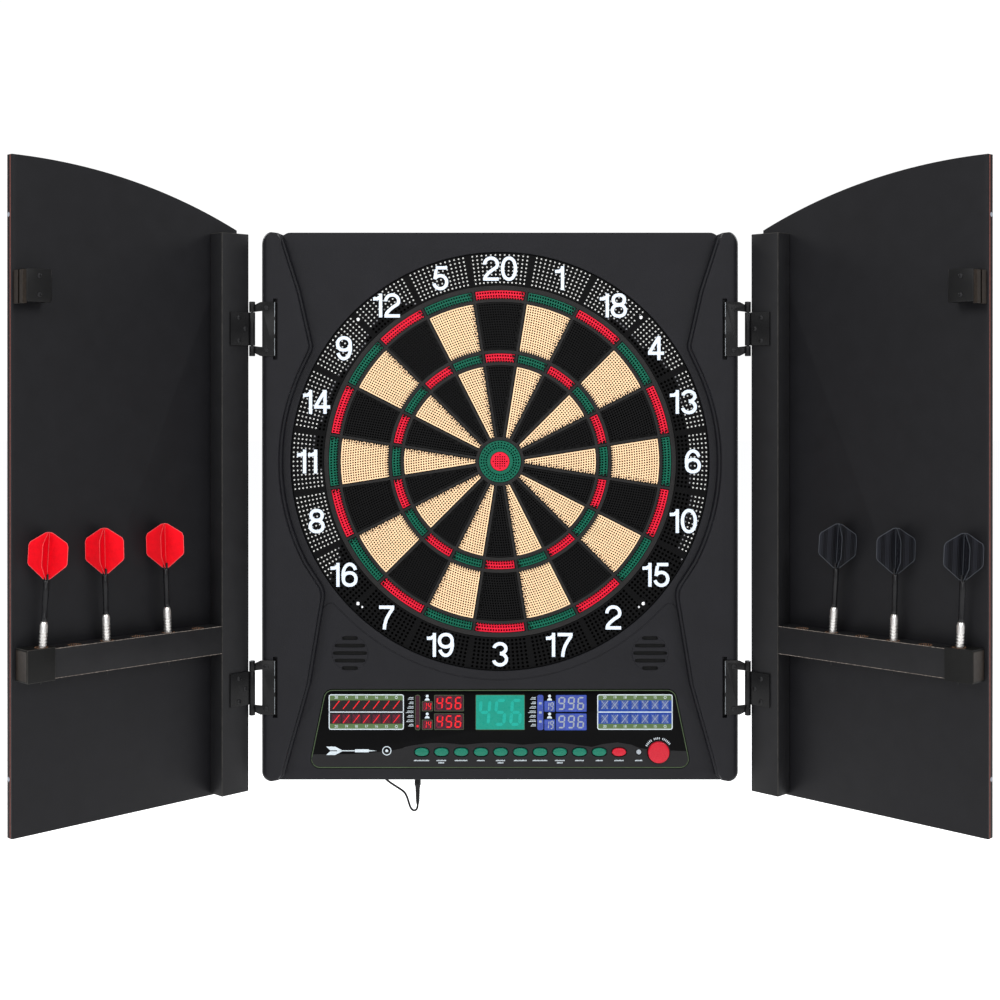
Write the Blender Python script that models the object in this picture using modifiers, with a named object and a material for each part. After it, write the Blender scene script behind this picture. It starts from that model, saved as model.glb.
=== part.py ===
"""Electronic dartboard in a hinged two-door cabinet, modelled open, at real size.

Frame: metres, +Z up, +X to the player's right, the board faces -Y. The origin is on the wall plane
(the back of the rear cover, y = 0), straight behind the centre of the bull.

Each door is built round an empty on its hinge pin. In a door's own frame u runs along the panel from
the pin towards the free edge and n points out of the panel's inner face, with the pin at u = n = 0.
"""

import math

import bmesh
import bpy
from mathutils import Vector

MM = 0.001
GAP = 0.3 * MM

# Housing, seen from the front
HOUSING_HALF_W = 238.9 * MM
HOUSING_TOP = 230.6 * MM
HOUSING_BOTTOM = -319.7 * MM
CORNER_R = 12.0 * MM
WALL = 3.0 * MM

# Depths of the front surfaces (the wall is y = 0)
RAIL_Y = -60.0 * MM
FACE_Y = -48.0 * MM
SPIDER_Y = -46.5 * MM
CATCH_Y = -46.0 * MM
BED_Y = -45.5 * MM
SEAM_Y = -9.0 * MM
BACKPLATE_Y = -38.0 * MM

# Target, radii from the bull
INNER_BULL_R = 9.4 * MM
OUTER_BULL = (9.9 * MM, 21.0 * MM)
INNER_SINGLES = (25.0 * MM, 96.6 * MM)
TRIPLES = (100.6 * MM, 108.7 * MM)
OUTER_SINGLES = (112.8 * MM, 160.4 * MM)
DOUBLES = (164.2 * MM, 172.4 * MM)
SPIDER_R = 177.5 * MM
CATCH_R = 210.5 * MM
TARGET_OPENING_R = 211.0 * MM
BEDS = 20
RIDGE = 2.4 * MM
WEB_Y = (-41.8 * MM, -40.6 * MM)
CATCH_T = 3.0 * MM
MEMBRANE_R = 175.5 * MM
MEMBRANE_T = 0.8 * MM
BACKPLATE_R = 215.0 * MM
BACKPLATE_T = 2.0 * MM

# Raised side rails
RAIL_TOP_X = 219.0 * MM
RAIL_SHOULDER = (188.5 * MM, 119.0 * MM)
RAIL_ARC_R = 221.5 * MM
RAIL_HIP = (178.5 * MM, -130.0 * MM)
RAIL_WAIST = (193.5 * MM, -223.6 * MM)
RAIL_FOOT = (216.0 * MM, -315.0 * MM)

# Control panel
LENS_TOP = (176.0 * MM, -229.8 * MM)
LENS_BOTTOM = (190.0 * MM, -307.9 * MM)
LENS_Y = (-48.2 * MM, -45.7 * MM)
BUTTON_Z = -292.9 * MM
FIRST_BUTTON_X = -78.8 * MM
BUTTON_PITCH = 19.87 * MM
BUTTON_SIZE = (14.1 * MM, 8.6 * MM)
RESET_R = 2.5 * MM
START_R = 10.8 * MM
BUTTON_REAR_Y = -45.9 * MM

# Circuit boards and the rubber pad under the buttons, as (low x, low z, high x, high z)
PANEL_BOARDS_Y = (-44.8 * MM, -43.2 * MM)
DISPLAY_BOARD = (-172.0 * MM, -272.0 * MM, 172.0 * MM, -233.0 * MM)
BUTTON_PAD = (-87.8 * MM, -304.5 * MM, 170.4 * MM, -281.0 * MM)
MAIN_BOARD = (-60.0 * MM, -200.0 * MM, 60.0 * MM, -120.0 * MM)
MAIN_BOARD_Y = (-31.0 * MM, -29.4 * MM)

# Speakers
SPEAKER_X = 151.8 * MM
SPEAKER_Z = -191.7 * MM
GRILLE_R = 17.9 * MM
LOUVRES = 5
LOUVRE_PITCH = 7.0 * MM
LOUVRE_SLOT = 2.6 * MM
CONE_R = 20.0 * MM
CONE_L = 5.0 * MM
MAGNET_R = 10.0 * MM
MAGNET_END = 16.0 * MM

# Hinges: heights of the centres, and the pin's place in front of the rails
HINGE_ZS = {"upper": 133.0 * MM, "lower": -225.0 * MM}
PIN_X = 247.2 * MM
PIN_Y = -63.0 * MM
PIN_R = 1.5 * MM
KNUCKLE_R = 3.0 * MM
KNUCKLE_BORE_R = 2.05 * MM
FRAME_LEAF_H = 54.0 * MM
DOOR_LEAF_H = 33.0 * MM
LEAF_T = 1.5 * MM
FLANGE_X = 225.8 * MM
ARM_H = 9.0 * MM
SLOT_HALF_H = 30.5 * MM

# Doors, in the door's frame
DOOR_OPEN_DEG = 135.0
PANEL_U = (2.0 * MM, 246.0 * MM)
PANEL_N = (-32.0 * MM, -23.0 * MM)
PANEL_BOTTOM = -330.0 * MM
DOOR_ARC_TOP = 285.0 * MM
DOOR_ARC_R = 600.0 * MM
POST_U = (2.0 * MM, 34.0 * MM)
POST_N = (-22.7 * MM, -3.0 * MM)
POST_Z = (-328.0 * MM, 227.4 * MM)

# Dart shelf and its end cap
SHELF_U = (34.3 * MM, 241.0 * MM)
SHELF_N = (-22.7 * MM, -3.0 * MM)
SHELF_Z = (-187.0 * MM, -160.0 * MM)
DART_HOLES = 6
FIRST_HOLE_U = 225.0 * MM
HOLE_PITCH = 33.4 * MM
HOLE_N = -9.1 * MM
HOLE_R = 5.3 * MM
HOLE_DEPTH = 22.0 * MM
TIP_HOLE_R = 3.2 * MM
CAP_U = (215.0 * MM, 242.5 * MM)
CAP_T = 1.2 * MM

# Catch blocks near the free edges
CATCH_BLOCK_U = (216.6 * MM, 241.6 * MM)
CATCH_BLOCK_N = (-22.7 * MM, -4.7 * MM)
CATCH_BLOCK_Z = (152.0 * MM, 182.0 * MM)

# Darts: lengths along the axis from the barrel's lower end
BARREL_L = 46.0 * MM
BARREL_R = 3.65 * MM
TIP_L = 10.5 * MM
TIP_R = 1.3 * MM
STEM_L = 37.0 * MM
STEM_R = 2.2 * MM
FLIGHT_L = 43.5 * MM
FLIGHT_R = 18.6 * MM
FLIGHT_T = 0.8 * MM
DART_HOLE_NUMBERS = (0, 2, 4)
# Lean of each dart in the panel's plane, positive towards the free edge
DART_LEANS_DEG = {"left": (-3.6, 1.3, 2.1), "right": (2.6, 1.6, 3.7)}

# Keyholes in the rear cover, over the wall screws
KEYHOLE_X = 100.0 * MM
KEYHOLE_Z = 150.0 * MM
KEYHOLE_R = 4.5 * MM
KEYHOLE_NECK = (2.3 * MM, 12.0 * MM)

# Low-voltage supply
JACK = Vector((-84.1 * MM, -25.0 * MM, HOUSING_BOTTOM))
JACK_BODY = (9.0 * MM, 11.0 * MM, 14.0 * MM)
JACK_BARREL_R = 3.6 * MM
JACK_BORE_R = 2.8 * MM
JACK_HOLE_R = 4.0 * MM
PLUG_PIN_R = 2.4 * MM
PLUG_PIN_L = 11.0 * MM
LEAD_D = 2.2 * MM
PLUG_COLLAR = (3.35 * MM, 11.4 * MM)
PLUG_BODY = (2.0 * MM, 28.1 * MM)
PLUG_END = (1.3 * MM, 30.0 * MM)
POCKET_X = (-201.0 * MM, -112.0 * MM)
POCKET_Z = (-314.2 * MM, -228.0 * MM)
POCKET_Y = -28.0 * MM
POCKET_WALL = 2.0 * MM
NOTCH_X = (-128.5 * MM, -118.5 * MM)
COIL_R = 18.5 * MM
COIL_SECTION_R = 5.4 * MM
COIL_CENTRE = Vector((-140.0 * MM, -20.0 * MM, -295.4 * MM))
ADAPTER_W = 39.5 * MM
ADAPTER_H = 60.0 * MM
ADAPTER_Y = (-27.0 * MM, -2.0 * MM)
PRONG = (1.6 * MM, 6.4 * MM, 16.0 * MM)
PRONG_SPACING = 12.8 * MM
# The lead from the plug's end round its loop, up behind the housing's lower edge and into the pocket
LEAD_ROUTE_MM = (
    (-84.1, -25.0, -350.0),
    (-84.2, -24.9, -353.0),
    (-85.2, -24.3, -356.5),
    (-88.2, -22.8, -358.3),
    (-91.2, -21.3, -356.2),
    (-93.2, -20.2, -351.6),
    (-95.4, -18.8, -345.4),
    (-98.3, -17.2, -341.0),
    (-103.3, -14.9, -337.9),
    (-110.0, -11.6, -334.6),
    (-116.0, -8.6, -331.2),
    (-120.8, -6.4, -326.8),
    (-123.2, -6.2, -320.5),
    (-123.6, -8.2, -314.2),
    (-124.0, -13.2, -309.8),
    (-124.9, -18.3, -308.6),
)

PLASTIC = "black_plastic"


def remove_everything():
    for obj in list(bpy.data.objects):
        bpy.data.objects.remove(obj)


def collection(name):
    made = bpy.data.collections.new(name)
    bpy.context.scene.collection.children.link(made)
    return made


remove_everything()
PARTS = collection("electronic_dartboard")
CUTTERS = collection("cutters")


def material(name, colour, roughness=0.5, metallic=0.0):
    made = bpy.data.materials.get(name)
    if made is None:
        made = bpy.data.materials.new(name)
        made.use_nodes = True
        shader = made.node_tree.nodes["Principled BSDF"]
        shader.inputs["Base Color"].default_value = (*colour, 1.0)
        shader.inputs["Roughness"].default_value = roughness
        shader.inputs["Metallic"].default_value = metallic
    return made


MATERIALS = {
    PLASTIC: material(PLASTIC, (0.018, 0.018, 0.021), 0.55),
    "laminate": material("laminate", (0.02, 0.02, 0.023), 0.6),
    "segment_black": material("segment_black", (0.006, 0.006, 0.006), 0.45),
    "segment_red": material("segment_red", (0.75, 0.02, 0.04), 0.45),
    "segment_green": material("segment_green", (0.0, 0.12, 0.07), 0.45),
    "gloss_lens": material("gloss_lens", (0.01, 0.01, 0.012), 0.08),
    "circuit_board": material("circuit_board", (0.02, 0.18, 0.05), 0.4),
    "film": material("film", (0.75, 0.75, 0.72), 0.5),
    "silicone": material("silicone", (0.35, 0.35, 0.36), 0.7),
    "steel_black": material("steel_black", (0.02, 0.02, 0.02), 0.35, 0.8),
    "dart_left": material("dart_left", (0.8, 0.0, 0.03), 0.3),
    "dart_right": material("dart_right", (0.01, 0.01, 0.01), 0.3),
    "lead": material("lead", (0.01, 0.01, 0.01), 0.5),
}


def finish_part(obj, name, material_name, parent=None):
    """Names the object as a sub-part, gives it its material, and hangs it on its parent's frame."""
    if parent is not None and obj.modifiers:
        obj = bake(obj)
    obj.name = name
    obj.data.materials.clear()
    obj.data.materials.append(MATERIALS[material_name])
    for owner in list(obj.users_collection):
        owner.objects.unlink(obj)
    PARTS.objects.link(obj)
    if parent is not None:
        obj.parent = parent
    return obj


def as_cutter(obj):
    obj.hide_render = True
    obj.display_type = "WIRE"
    for owner in list(obj.users_collection):
        owner.objects.unlink(obj)
    CUTTERS.objects.link(obj)


def boolean(obj, other, operation):
    modifier = obj.modifiers.new(operation.lower(), "BOOLEAN")
    modifier.operation = operation
    modifier.object = other
    as_cutter(other)
    return obj


def cut(obj, *others):
    for other in others:
        boolean(obj, other, "DIFFERENCE")
    return obj


def join(obj, *others):
    for other in others:
        boolean(obj, other, "UNION")
    return obj


def bake(obj):
    """A new mesh object of what the modifiers make, with its points merged; the source is removed."""
    bpy.context.view_layer.update()
    graph = bpy.context.evaluated_depsgraph_get()
    mesh = bpy.data.meshes.new_from_object(obj.evaluated_get(graph))
    edit = bmesh.new()
    edit.from_mesh(mesh)
    bmesh.ops.remove_doubles(edit, verts=edit.verts, dist=1e-6)
    edit.to_mesh(mesh)
    edit.free()
    made = bpy.data.objects.new(obj.name, mesh)
    made.matrix_world = obj.matrix_world
    bpy.context.scene.collection.objects.link(made)
    bpy.data.objects.remove(obj)
    return made


def box(low, high):
    low, high = Vector(low), Vector(high)
    for axis in range(3):
        if low[axis] > high[axis]:
            low[axis], high[axis] = high[axis], low[axis]
    bpy.ops.mesh.primitive_cube_add(size=1.0, location=(low + high) / 2)
    made = bpy.context.object
    made.scale = high - low
    bpy.ops.object.transform_apply(location=False, rotation=False, scale=True)
    return made


def rod(start, end, radius, sides=24):
    """A cylinder between two points."""
    start, end = Vector(start), Vector(end)
    bpy.ops.mesh.primitive_cylinder_add(
        vertices=sides, radius=radius, depth=(end - start).length, location=(start + end) / 2
    )
    made = bpy.context.object
    made.rotation_mode = "QUATERNION"
    made.rotation_quaternion = (end - start).to_track_quat("Z", "Y")
    bpy.ops.object.transform_apply(location=False, rotation=True, scale=False)
    return made


def flat(outlines, front_y, back_y):
    """A plate from closed outlines of (x, z) points; outlines inside the first are holes."""
    curve = bpy.data.curves.new("outline", "CURVE")
    curve.dimensions = "2D"
    curve.fill_mode = "BOTH"
    curve.extrude = (back_y - front_y) / 2
    for outline in outlines:
        spline = curve.splines.new("POLY")
        spline.points.add(len(outline) - 1)
        for point, (x, z) in zip(spline.points, outline):
            point.co = (x, z, 0.0, 1.0)
        spline.use_cyclic_u = True
    obj = bpy.data.objects.new("outline", curve)
    obj.location = (0.0, (front_y + back_y) / 2, 0.0)
    obj.rotation_euler = (math.pi / 2, 0.0, 0.0)
    bpy.context.scene.collection.objects.link(obj)
    bpy.context.view_layer.update()
    made = bake(obj)
    made.data.transform(made.matrix_world)
    made.matrix_world.identity()
    return made


def turned(profile, sides):
    """A solid of revolution about Z from (radius, z) points, top to bottom, both ends on the axis."""
    mesh = bpy.data.meshes.new("profile")
    edges = [(i, i + 1) for i in range(len(profile) - 1)]
    mesh.from_pydata([(r, 0.0, z) for r, z in profile], edges, [])
    obj = bpy.data.objects.new("profile", mesh)
    bpy.context.scene.collection.objects.link(obj)
    screw = obj.modifiers.new("screw", "SCREW")
    screw.steps = sides
    screw.render_steps = sides
    screw.use_merge_vertices = True
    screw.merge_threshold = 0.00001
    screw.use_normal_calculate = True
    return obj


def arc(radius, start_deg, end_deg, steps, centre=(0.0, 0.0)):
    points = []
    for i in range(steps + 1):
        angle = math.radians(start_deg + (end_deg - start_deg) * i / steps)
        points.append((centre[0] + radius * math.cos(angle), centre[1] + radius * math.sin(angle)))
    return points


def circle(radius, steps, centre=(0.0, 0.0)):
    return arc(radius, 0.0, 360.0, steps, centre)[:-1]


def rounded_corners(corners, radius, steps=3):
    """The outline of convex corners with each one rounded."""
    outline = []
    count = len(corners)
    for i, corner in enumerate(corners):
        here = Vector(corner)
        back = (Vector(corners[i - 1]) - here).normalized()
        ahead = (Vector(corners[(i + 1) % count]) - here).normalized()
        half = back.angle(ahead) / 2
        centre = here + (back + ahead).normalized() * radius / math.sin(half)
        first = (here + back * radius / math.tan(half) - centre).normalized()
        last = (here + ahead * radius / math.tan(half) - centre).normalized()
        for k in range(steps + 1):
            outline.append(tuple(centre + first.slerp(last, k / steps) * radius))
    return outline


def bed_outline(inner, outer, middle_deg, grow=0.0):
    """One bed between two radii, its sides parallel to the ridges beside it."""
    outline = []
    for radius, direction in ((inner - grow, -1), (outer + grow, 1)):
        half_ridge = math.degrees(math.asin((RIDGE / 2 - grow) / radius))
        half = 180.0 / BEDS - half_ridge
        outline += arc(radius, middle_deg - direction * half, middle_deg + direction * half, 2)
    return outline


def bed_outlines(radii, grow=0.0):
    return [bed_outline(*radii, 90.0 + 360.0 / BEDS * i, grow) for i in range(BEDS)]


# ---------------------------------------------------------------- housing


def rail_outline(side):
    """A rail: bullet ends, a shoulder, a hollow that follows the target, a hip and a waist."""
    edge = HOUSING_HALF_W
    start = math.degrees(math.atan2(109.0, 192.8))
    hollow = arc(RAIL_ARC_R, start, -31.0, 12)
    inner = [(RAIL_TOP_X, HOUSING_TOP - 3 * MM), RAIL_SHOULDER, *hollow, RAIL_HIP, RAIL_WAIST, RAIL_FOOT]
    outer = [
        (edge - 4 * MM, HOUSING_BOTTOM),
        (edge, HOUSING_BOTTOM + CORNER_R),
        (edge, HOUSING_TOP - CORNER_R),
        (edge - 4 * MM, HOUSING_TOP),
    ]
    return [(side * x, z) for x, z in inner + outer]


def lens_outline(grow=0.0):
    top_x, top_z = LENS_TOP
    bottom_x, bottom_z = LENS_BOTTOM
    corners = [
        (-top_x - grow, top_z + grow),
        (top_x + grow, top_z + grow),
        (bottom_x + grow, bottom_z - grow),
        (-bottom_x - grow, bottom_z - grow),
    ]
    return rounded_corners(corners, 10 * MM + grow)


def pocket_hollow(grow, back_y):
    return box(
        (POCKET_X[0] - grow, POCKET_Y - grow, POCKET_Z[0] - grow),
        (POCKET_X[1] + grow, back_y, POCKET_Z[1] + grow),
    )


def front_housing():
    corners = [
        (-HOUSING_HALF_W, HOUSING_TOP),
        (HOUSING_HALF_W, HOUSING_TOP),
        (HOUSING_HALF_W, HOUSING_BOTTOM),
        (-HOUSING_HALF_W, HOUSING_BOTTOM),
    ]
    shell = flat([rounded_corners(corners, CORNER_R)], FACE_Y, SEAM_Y)
    for side in (-1, 1):
        join(shell, flat([rail_outline(side)], RAIL_Y, FACE_Y + 1 * MM))
    inside = box(
        (-HOUSING_HALF_W + WALL, FACE_Y + WALL, HOUSING_BOTTOM + WALL),
        (HOUSING_HALF_W - WALL, 0.0, HOUSING_TOP - WALL),
    )
    cut(shell, inside)
    cut(shell, flat([circle(TARGET_OPENING_R, 72)], FACE_Y - 1 * MM, FACE_Y + 2 * WALL))
    cut(shell, flat([lens_outline(0.4 * MM)], FACE_Y - 1 * MM, FACE_Y + 2 * WALL))
    jack_hole_end = JACK + Vector((0, 0, 2 * WALL))
    cut(shell, rod(JACK - Vector((0, 0, WALL)), jack_hole_end, JACK_HOLE_R, 16))
    for side in (-1, 1):
        for k in range(LOUVRES):
            z = SPEAKER_Z + LOUVRE_PITCH * (k - (LOUVRES - 1) / 2)
            half = math.sqrt((GRILLE_R - 1.5 * MM) ** 2 - (z - SPEAKER_Z) ** 2)
            x = side * SPEAKER_X
            low = (x - half, FACE_Y - 1 * MM, z - LOUVRE_SLOT / 2)
            cut(shell, box(low, (x + half, FACE_Y + 2 * WALL, z + LOUVRE_SLOT / 2)))
        for z in HINGE_ZS.values():
            low = (side * (FLANGE_X - 3.5 * MM), RAIL_Y - 1 * MM, z - SLOT_HALF_H)
            cut(shell, box(low, (side * (FLANGE_X + 1.0 * MM), RAIL_Y + 7 * MM, z + SLOT_HALF_H)))
    finish_part(shell, "front_housing", PLASTIC)


def rear_cover():
    corners = [
        (-HOUSING_HALF_W, HOUSING_TOP),
        (HOUSING_HALF_W, HOUSING_TOP),
        (HOUSING_HALF_W, HOUSING_BOTTOM),
        (-HOUSING_HALF_W, HOUSING_BOTTOM),
    ]
    cover = flat([rounded_corners(corners, CORNER_R)], SEAM_Y + GAP, 0.0)
    inside = box(
        (-HOUSING_HALF_W + WALL, SEAM_Y, HOUSING_BOTTOM + WALL),
        (HOUSING_HALF_W - WALL, -WALL, HOUSING_TOP - WALL),
    )
    cut(cover, inside)
    join(cover, pocket_hollow(POCKET_WALL, -GAP))
    cut(cover, pocket_hollow(0.0, 1 * MM))
    notch_low = (NOTCH_X[0], SEAM_Y - 1 * MM, HOUSING_BOTTOM - 1 * MM)
    cut(cover, box(notch_low, (NOTCH_X[1], 1 * MM, POCKET_Z[0] + 1 * MM)))
    half_neck, rise = KEYHOLE_NECK
    for x in (-KEYHOLE_X, KEYHOLE_X):
        cut(cover, rod((x, -2 * WALL, KEYHOLE_Z), (x, 1 * MM, KEYHOLE_Z), KEYHOLE_R, 16))
        cut(cover, box((x - half_neck, -2 * WALL, KEYHOLE_Z), (x + half_neck, 1 * MM, KEYHOLE_Z + rise)))
    finish_part(cover, "rear_cover", PLASTIC)


# ---------------------------------------------------------------- target


def spider_frame():
    holes = []
    for radii in (INNER_SINGLES, TRIPLES, OUTER_SINGLES, DOUBLES):
        holes += bed_outlines(radii, 0.4 * MM)
    holes.append(circle(OUTER_BULL[1] + 0.4 * MM, 40))
    plate = flat([circle(SPIDER_R, 4 * BEDS), *holes], SPIDER_Y, WEB_Y[0] - 0.7 * MM)
    finish_part(plate, "spider_frame", PLASTIC)


def segment_ring(name, radii, material_name):
    """Twenty raised beds on one thin carrier, which sits behind the spider."""
    web = [circle(radii[1] + 0.6 * MM, 2 * BEDS), circle(radii[0] - 0.6 * MM, 2 * BEDS)]
    ring = join(flat(web, *WEB_Y), flat(bed_outlines(radii), BED_Y, WEB_Y[0] + 0.4 * MM))
    finish_part(ring, name, material_name)


def target():
    spider_frame()
    catch_back = CATCH_Y + CATCH_T
    catch = [circle(CATCH_R, 4 * BEDS), circle(SPIDER_R + 0.4 * MM, 4 * BEDS)]
    finish_part(flat(catch, CATCH_Y, catch_back), "catch_ring", "segment_black")
    segment_ring("doubles_segments", DOUBLES, "segment_red")
    segment_ring("outer_single_segments", OUTER_SINGLES, "segment_black")
    segment_ring("triples_segments", TRIPLES, "segment_red")
    segment_ring("inner_single_segments", INNER_SINGLES, "segment_black")
    bull = [circle(OUTER_BULL[1], 40), circle(OUTER_BULL[0], 32)]
    finish_part(flat(bull, BED_Y, WEB_Y[1]), "outer_bull_segment", "segment_green")
    inner = flat([circle(INNER_BULL_R, 32)], BED_Y, WEB_Y[1])
    finish_part(inner, "inner_bull_segment", "segment_red")
    membrane_back = BACKPLATE_Y - GAP
    membrane = flat([circle(MEMBRANE_R, 60)], membrane_back - MEMBRANE_T, membrane_back)
    finish_part(membrane, "matrix_membrane", "film")
    backplate = flat([circle(BACKPLATE_R, 60)], BACKPLATE_Y, BACKPLATE_Y + BACKPLATE_T)
    finish_part(backplate, "target_backplate", PLASTIC)


# ---------------------------------------------------------------- controls and electronics


def button_x(k):
    return FIRST_BUTTON_X + BUTTON_PITCH * k


def oval(width, height, centre):
    """A rounded outline like a racetrack."""
    r = height / 2
    reach = width / 2 - r
    right = arc(r, -90, 90, 5, (centre[0] + reach, centre[1]))
    left = arc(r, 90, 270, 5, (centre[0] - reach, centre[1]))
    return right + left


def button_specs():
    """(name, outline maker, front y, material) of every button; the maker takes how far to grow."""
    width, height = BUTTON_SIZE

    def oval_at(k):
        return lambda grow: oval(width + 2 * grow, height + 2 * grow, (button_x(k), BUTTON_Z))

    def round_at(k, radius):
        return lambda grow: circle(radius + grow, 24, (button_x(k), BUTTON_Z))

    front = LENS_Y[0] - 1.6 * MM
    specs = [(f"select_button_{k + 1}", oval_at(k), front, "segment_green") for k in range(10)]
    specs.append(("power_button", oval_at(10), front, "segment_red"))
    specs.append(("reset_button", round_at(11, RESET_R), LENS_Y[0] - 0.6 * MM, "silicone"))
    specs.append(("start_button", round_at(12, START_R), LENS_Y[0] - 3.8 * MM, "segment_red"))
    return specs


def control_panel():
    holes = []
    for name, outline, front, material_name in button_specs():
        holes.append(outline(0.35 * MM))
        cap = flat([outline(0.0)], front, BUTTON_REAR_Y)
        finish_part(cap, name, material_name)
    finish_part(flat([lens_outline(), *holes], *LENS_Y), "control_panel_lens", "gloss_lens")
    finish_part(board(DISPLAY_BOARD, PANEL_BOARDS_Y), "display_board", "circuit_board")
    finish_part(board(BUTTON_PAD, PANEL_BOARDS_Y), "button_pad", "silicone")


def board(edges, depths):
    low_x, low_z, high_x, high_z = edges
    return box((low_x, depths[0], low_z), (high_x, depths[1], high_z))


def electronics():
    finish_part(board(MAIN_BOARD, MAIN_BOARD_Y), "main_circuit_board", "circuit_board")
    for name, side in (("left_speaker", -1), ("right_speaker", 1)):
        x = side * SPEAKER_X
        front_y = FACE_Y + WALL + GAP
        cone = rod((x, front_y, SPEAKER_Z), (x, front_y + CONE_L, SPEAKER_Z), CONE_R, 28)
        magnet_end = (x, front_y + MAGNET_END, SPEAKER_Z)
        join(cone, rod((x, front_y + CONE_L - 1 * MM, SPEAKER_Z), magnet_end, MAGNET_R, 20))
        finish_part(cone, name, PLASTIC)


def dc_jack():
    width, depth, height = JACK_BODY
    corner = JACK + Vector((-width / 2, -depth / 2, WALL + GAP))
    jack = box(corner, corner + Vector(JACK_BODY))
    barrel_end = JACK + Vector((0, 0, WALL + 1 * MM))
    join(jack, rod(JACK + Vector((0, 0, 0.4 * MM)), barrel_end, JACK_BARREL_R, 16))
    cut(jack, rod(JACK, JACK + Vector((0, 0, height - 2 * MM)), JACK_BORE_R, 16))
    finish_part(jack, "dc_jack", PLASTIC)


def dc_plug():
    collar_r, collar_l = PLUG_COLLAR
    body_r, body_l = PLUG_BODY
    end_r, end_l = PLUG_END
    profile = [
        (0.0, PLUG_PIN_L),
        (PLUG_PIN_R, PLUG_PIN_L),
        (PLUG_PIN_R, -GAP),
        (collar_r, -GAP),
        (collar_r, -collar_l),
        (body_r, -collar_l - 2.1 * MM),
        (body_r, -body_l),
        (end_r, -end_l + GAP),
        (0.0, -end_l + GAP),
    ]
    plug = turned(profile, 16)
    plug.location = JACK
    finish_part(plug, "dc_plug", "lead")


def power_lead():
    curve = bpy.data.curves.new("lead", "CURVE")
    curve.dimensions = "3D"
    curve.bevel_depth = LEAD_D / 2
    curve.bevel_resolution = 2
    curve.use_fill_caps = True
    points = smooth_route([Vector(p) * MM for p in LEAD_ROUTE_MM], 2)
    spline = curve.splines.new("POLY")
    spline.points.add(len(points) - 1)
    for point, place in zip(spline.points, points):
        point.co = (*place, 1.0)
    lead = bpy.data.objects.new("lead", curve)
    bpy.context.scene.collection.objects.link(lead)
    finish_part(lead, "power_lead", "lead")

    bpy.ops.mesh.primitive_torus_add(
        major_radius=COIL_R - COIL_SECTION_R,
        minor_radius=COIL_SECTION_R,
        major_segments=28,
        minor_segments=10,
        location=COIL_CENTRE,
        rotation=(math.pi / 2, 0.0, 0.0),
    )
    finish_part(bpy.context.object, "power_lead_coil", "lead")


def wall_adapter():
    right = COIL_CENTRE.x - COIL_R - GAP
    floor = POCKET_Z[0] + GAP
    adapter = box((right - ADAPTER_W, ADAPTER_Y[0], floor), (right, ADAPTER_Y[1], floor + ADAPTER_H))
    thick, wide, reach = PRONG
    middle_y = sum(ADAPTER_Y) / 2
    top = floor + ADAPTER_H
    for offset in (-PRONG_SPACING / 2, PRONG_SPACING / 2):
        x = right - ADAPTER_W / 2 + offset
        low = (x - thick / 2, middle_y - wide / 2, top - 1 * MM)
        join(adapter, box(low, (x + thick / 2, middle_y + wide / 2, top + reach)))
    finish_part(adapter, "wall_adapter", "lead")


def smooth_route(points, steps):
    """Points along a Catmull-Rom curve through the given ones."""
    ends = [2 * points[0] - points[1], *points, 2 * points[-1] - points[-2]]
    route = []
    for a, b, c, d in zip(ends, ends[1:], ends[2:], ends[3:]):
        for i in range(steps):
            t = i / steps
            square = (2 * a - 5 * b + 4 * c - d) * t**2
            cube = (3 * b - a - 3 * c + d) * t**3
            route.append(0.5 * (2 * b + (c - a) * t + square + cube))
    return [*route, points[-1]]


# ---------------------------------------------------------------- doors


def panel_outline(side):
    """A door panel: straight sides and bottom, its top an arc centred on the closed doors' seam."""
    centre_z = DOOR_ARC_TOP - DOOR_ARC_R
    steps = 8
    top = []
    for i in range(steps + 1):
        u = PANEL_U[1] + (PANEL_U[0] - PANEL_U[1]) * i / steps
        reach = PIN_X - u
        top.append((u, centre_z + math.sqrt(DOOR_ARC_R**2 - reach**2)))
    outline = [(PANEL_U[0], PANEL_BOTTOM), (PANEL_U[1], PANEL_BOTTOM), *top]
    return [(side * u, z) for u, z in outline]


def hole_u(k):
    return FIRST_HOLE_U - HOLE_PITCH * k


def dart_shelf(side):
    top, bottom = SHELF_Z[1], SHELF_Z[0]
    shelf = box((side * SHELF_U[0], SHELF_N[0], bottom), (side * SHELF_U[1], SHELF_N[1], top))
    for k in range(DART_HOLES):
        x = side * hole_u(k)
        cut(shelf, rod((x, HOLE_N, top - HOLE_DEPTH), (x, HOLE_N, top + 1 * MM), HOLE_R, 16))
        cut(shelf, rod((x, HOLE_N, bottom - 1 * MM), (x, HOLE_N, top - 2 * MM), TIP_HOLE_R, 10))
    return shelf


def shelf_cap(side):
    """A moulded sleeve, open towards the panel, over the free end of the shelf."""
    grow = CAP_T + GAP
    cap = box(
        (side * CAP_U[0], SHELF_N[0], SHELF_Z[0] - grow),
        (side * CAP_U[1], SHELF_N[1] + grow, SHELF_Z[1] + grow),
    )
    inside = box(
        (side * (CAP_U[0] - 1 * MM), SHELF_N[0] - 1 * MM, SHELF_Z[0] - GAP),
        (side * (SHELF_U[1] + GAP), SHELF_N[1] + GAP, SHELF_Z[1] + GAP),
    )
    cut(cap, inside)
    x = side * hole_u(0)
    cut(cap, rod((x, HOLE_N, SHELF_Z[0] - 5 * MM), (x, HOLE_N, SHELF_Z[1] + 5 * MM), HOLE_R, 16))
    return cap


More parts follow.
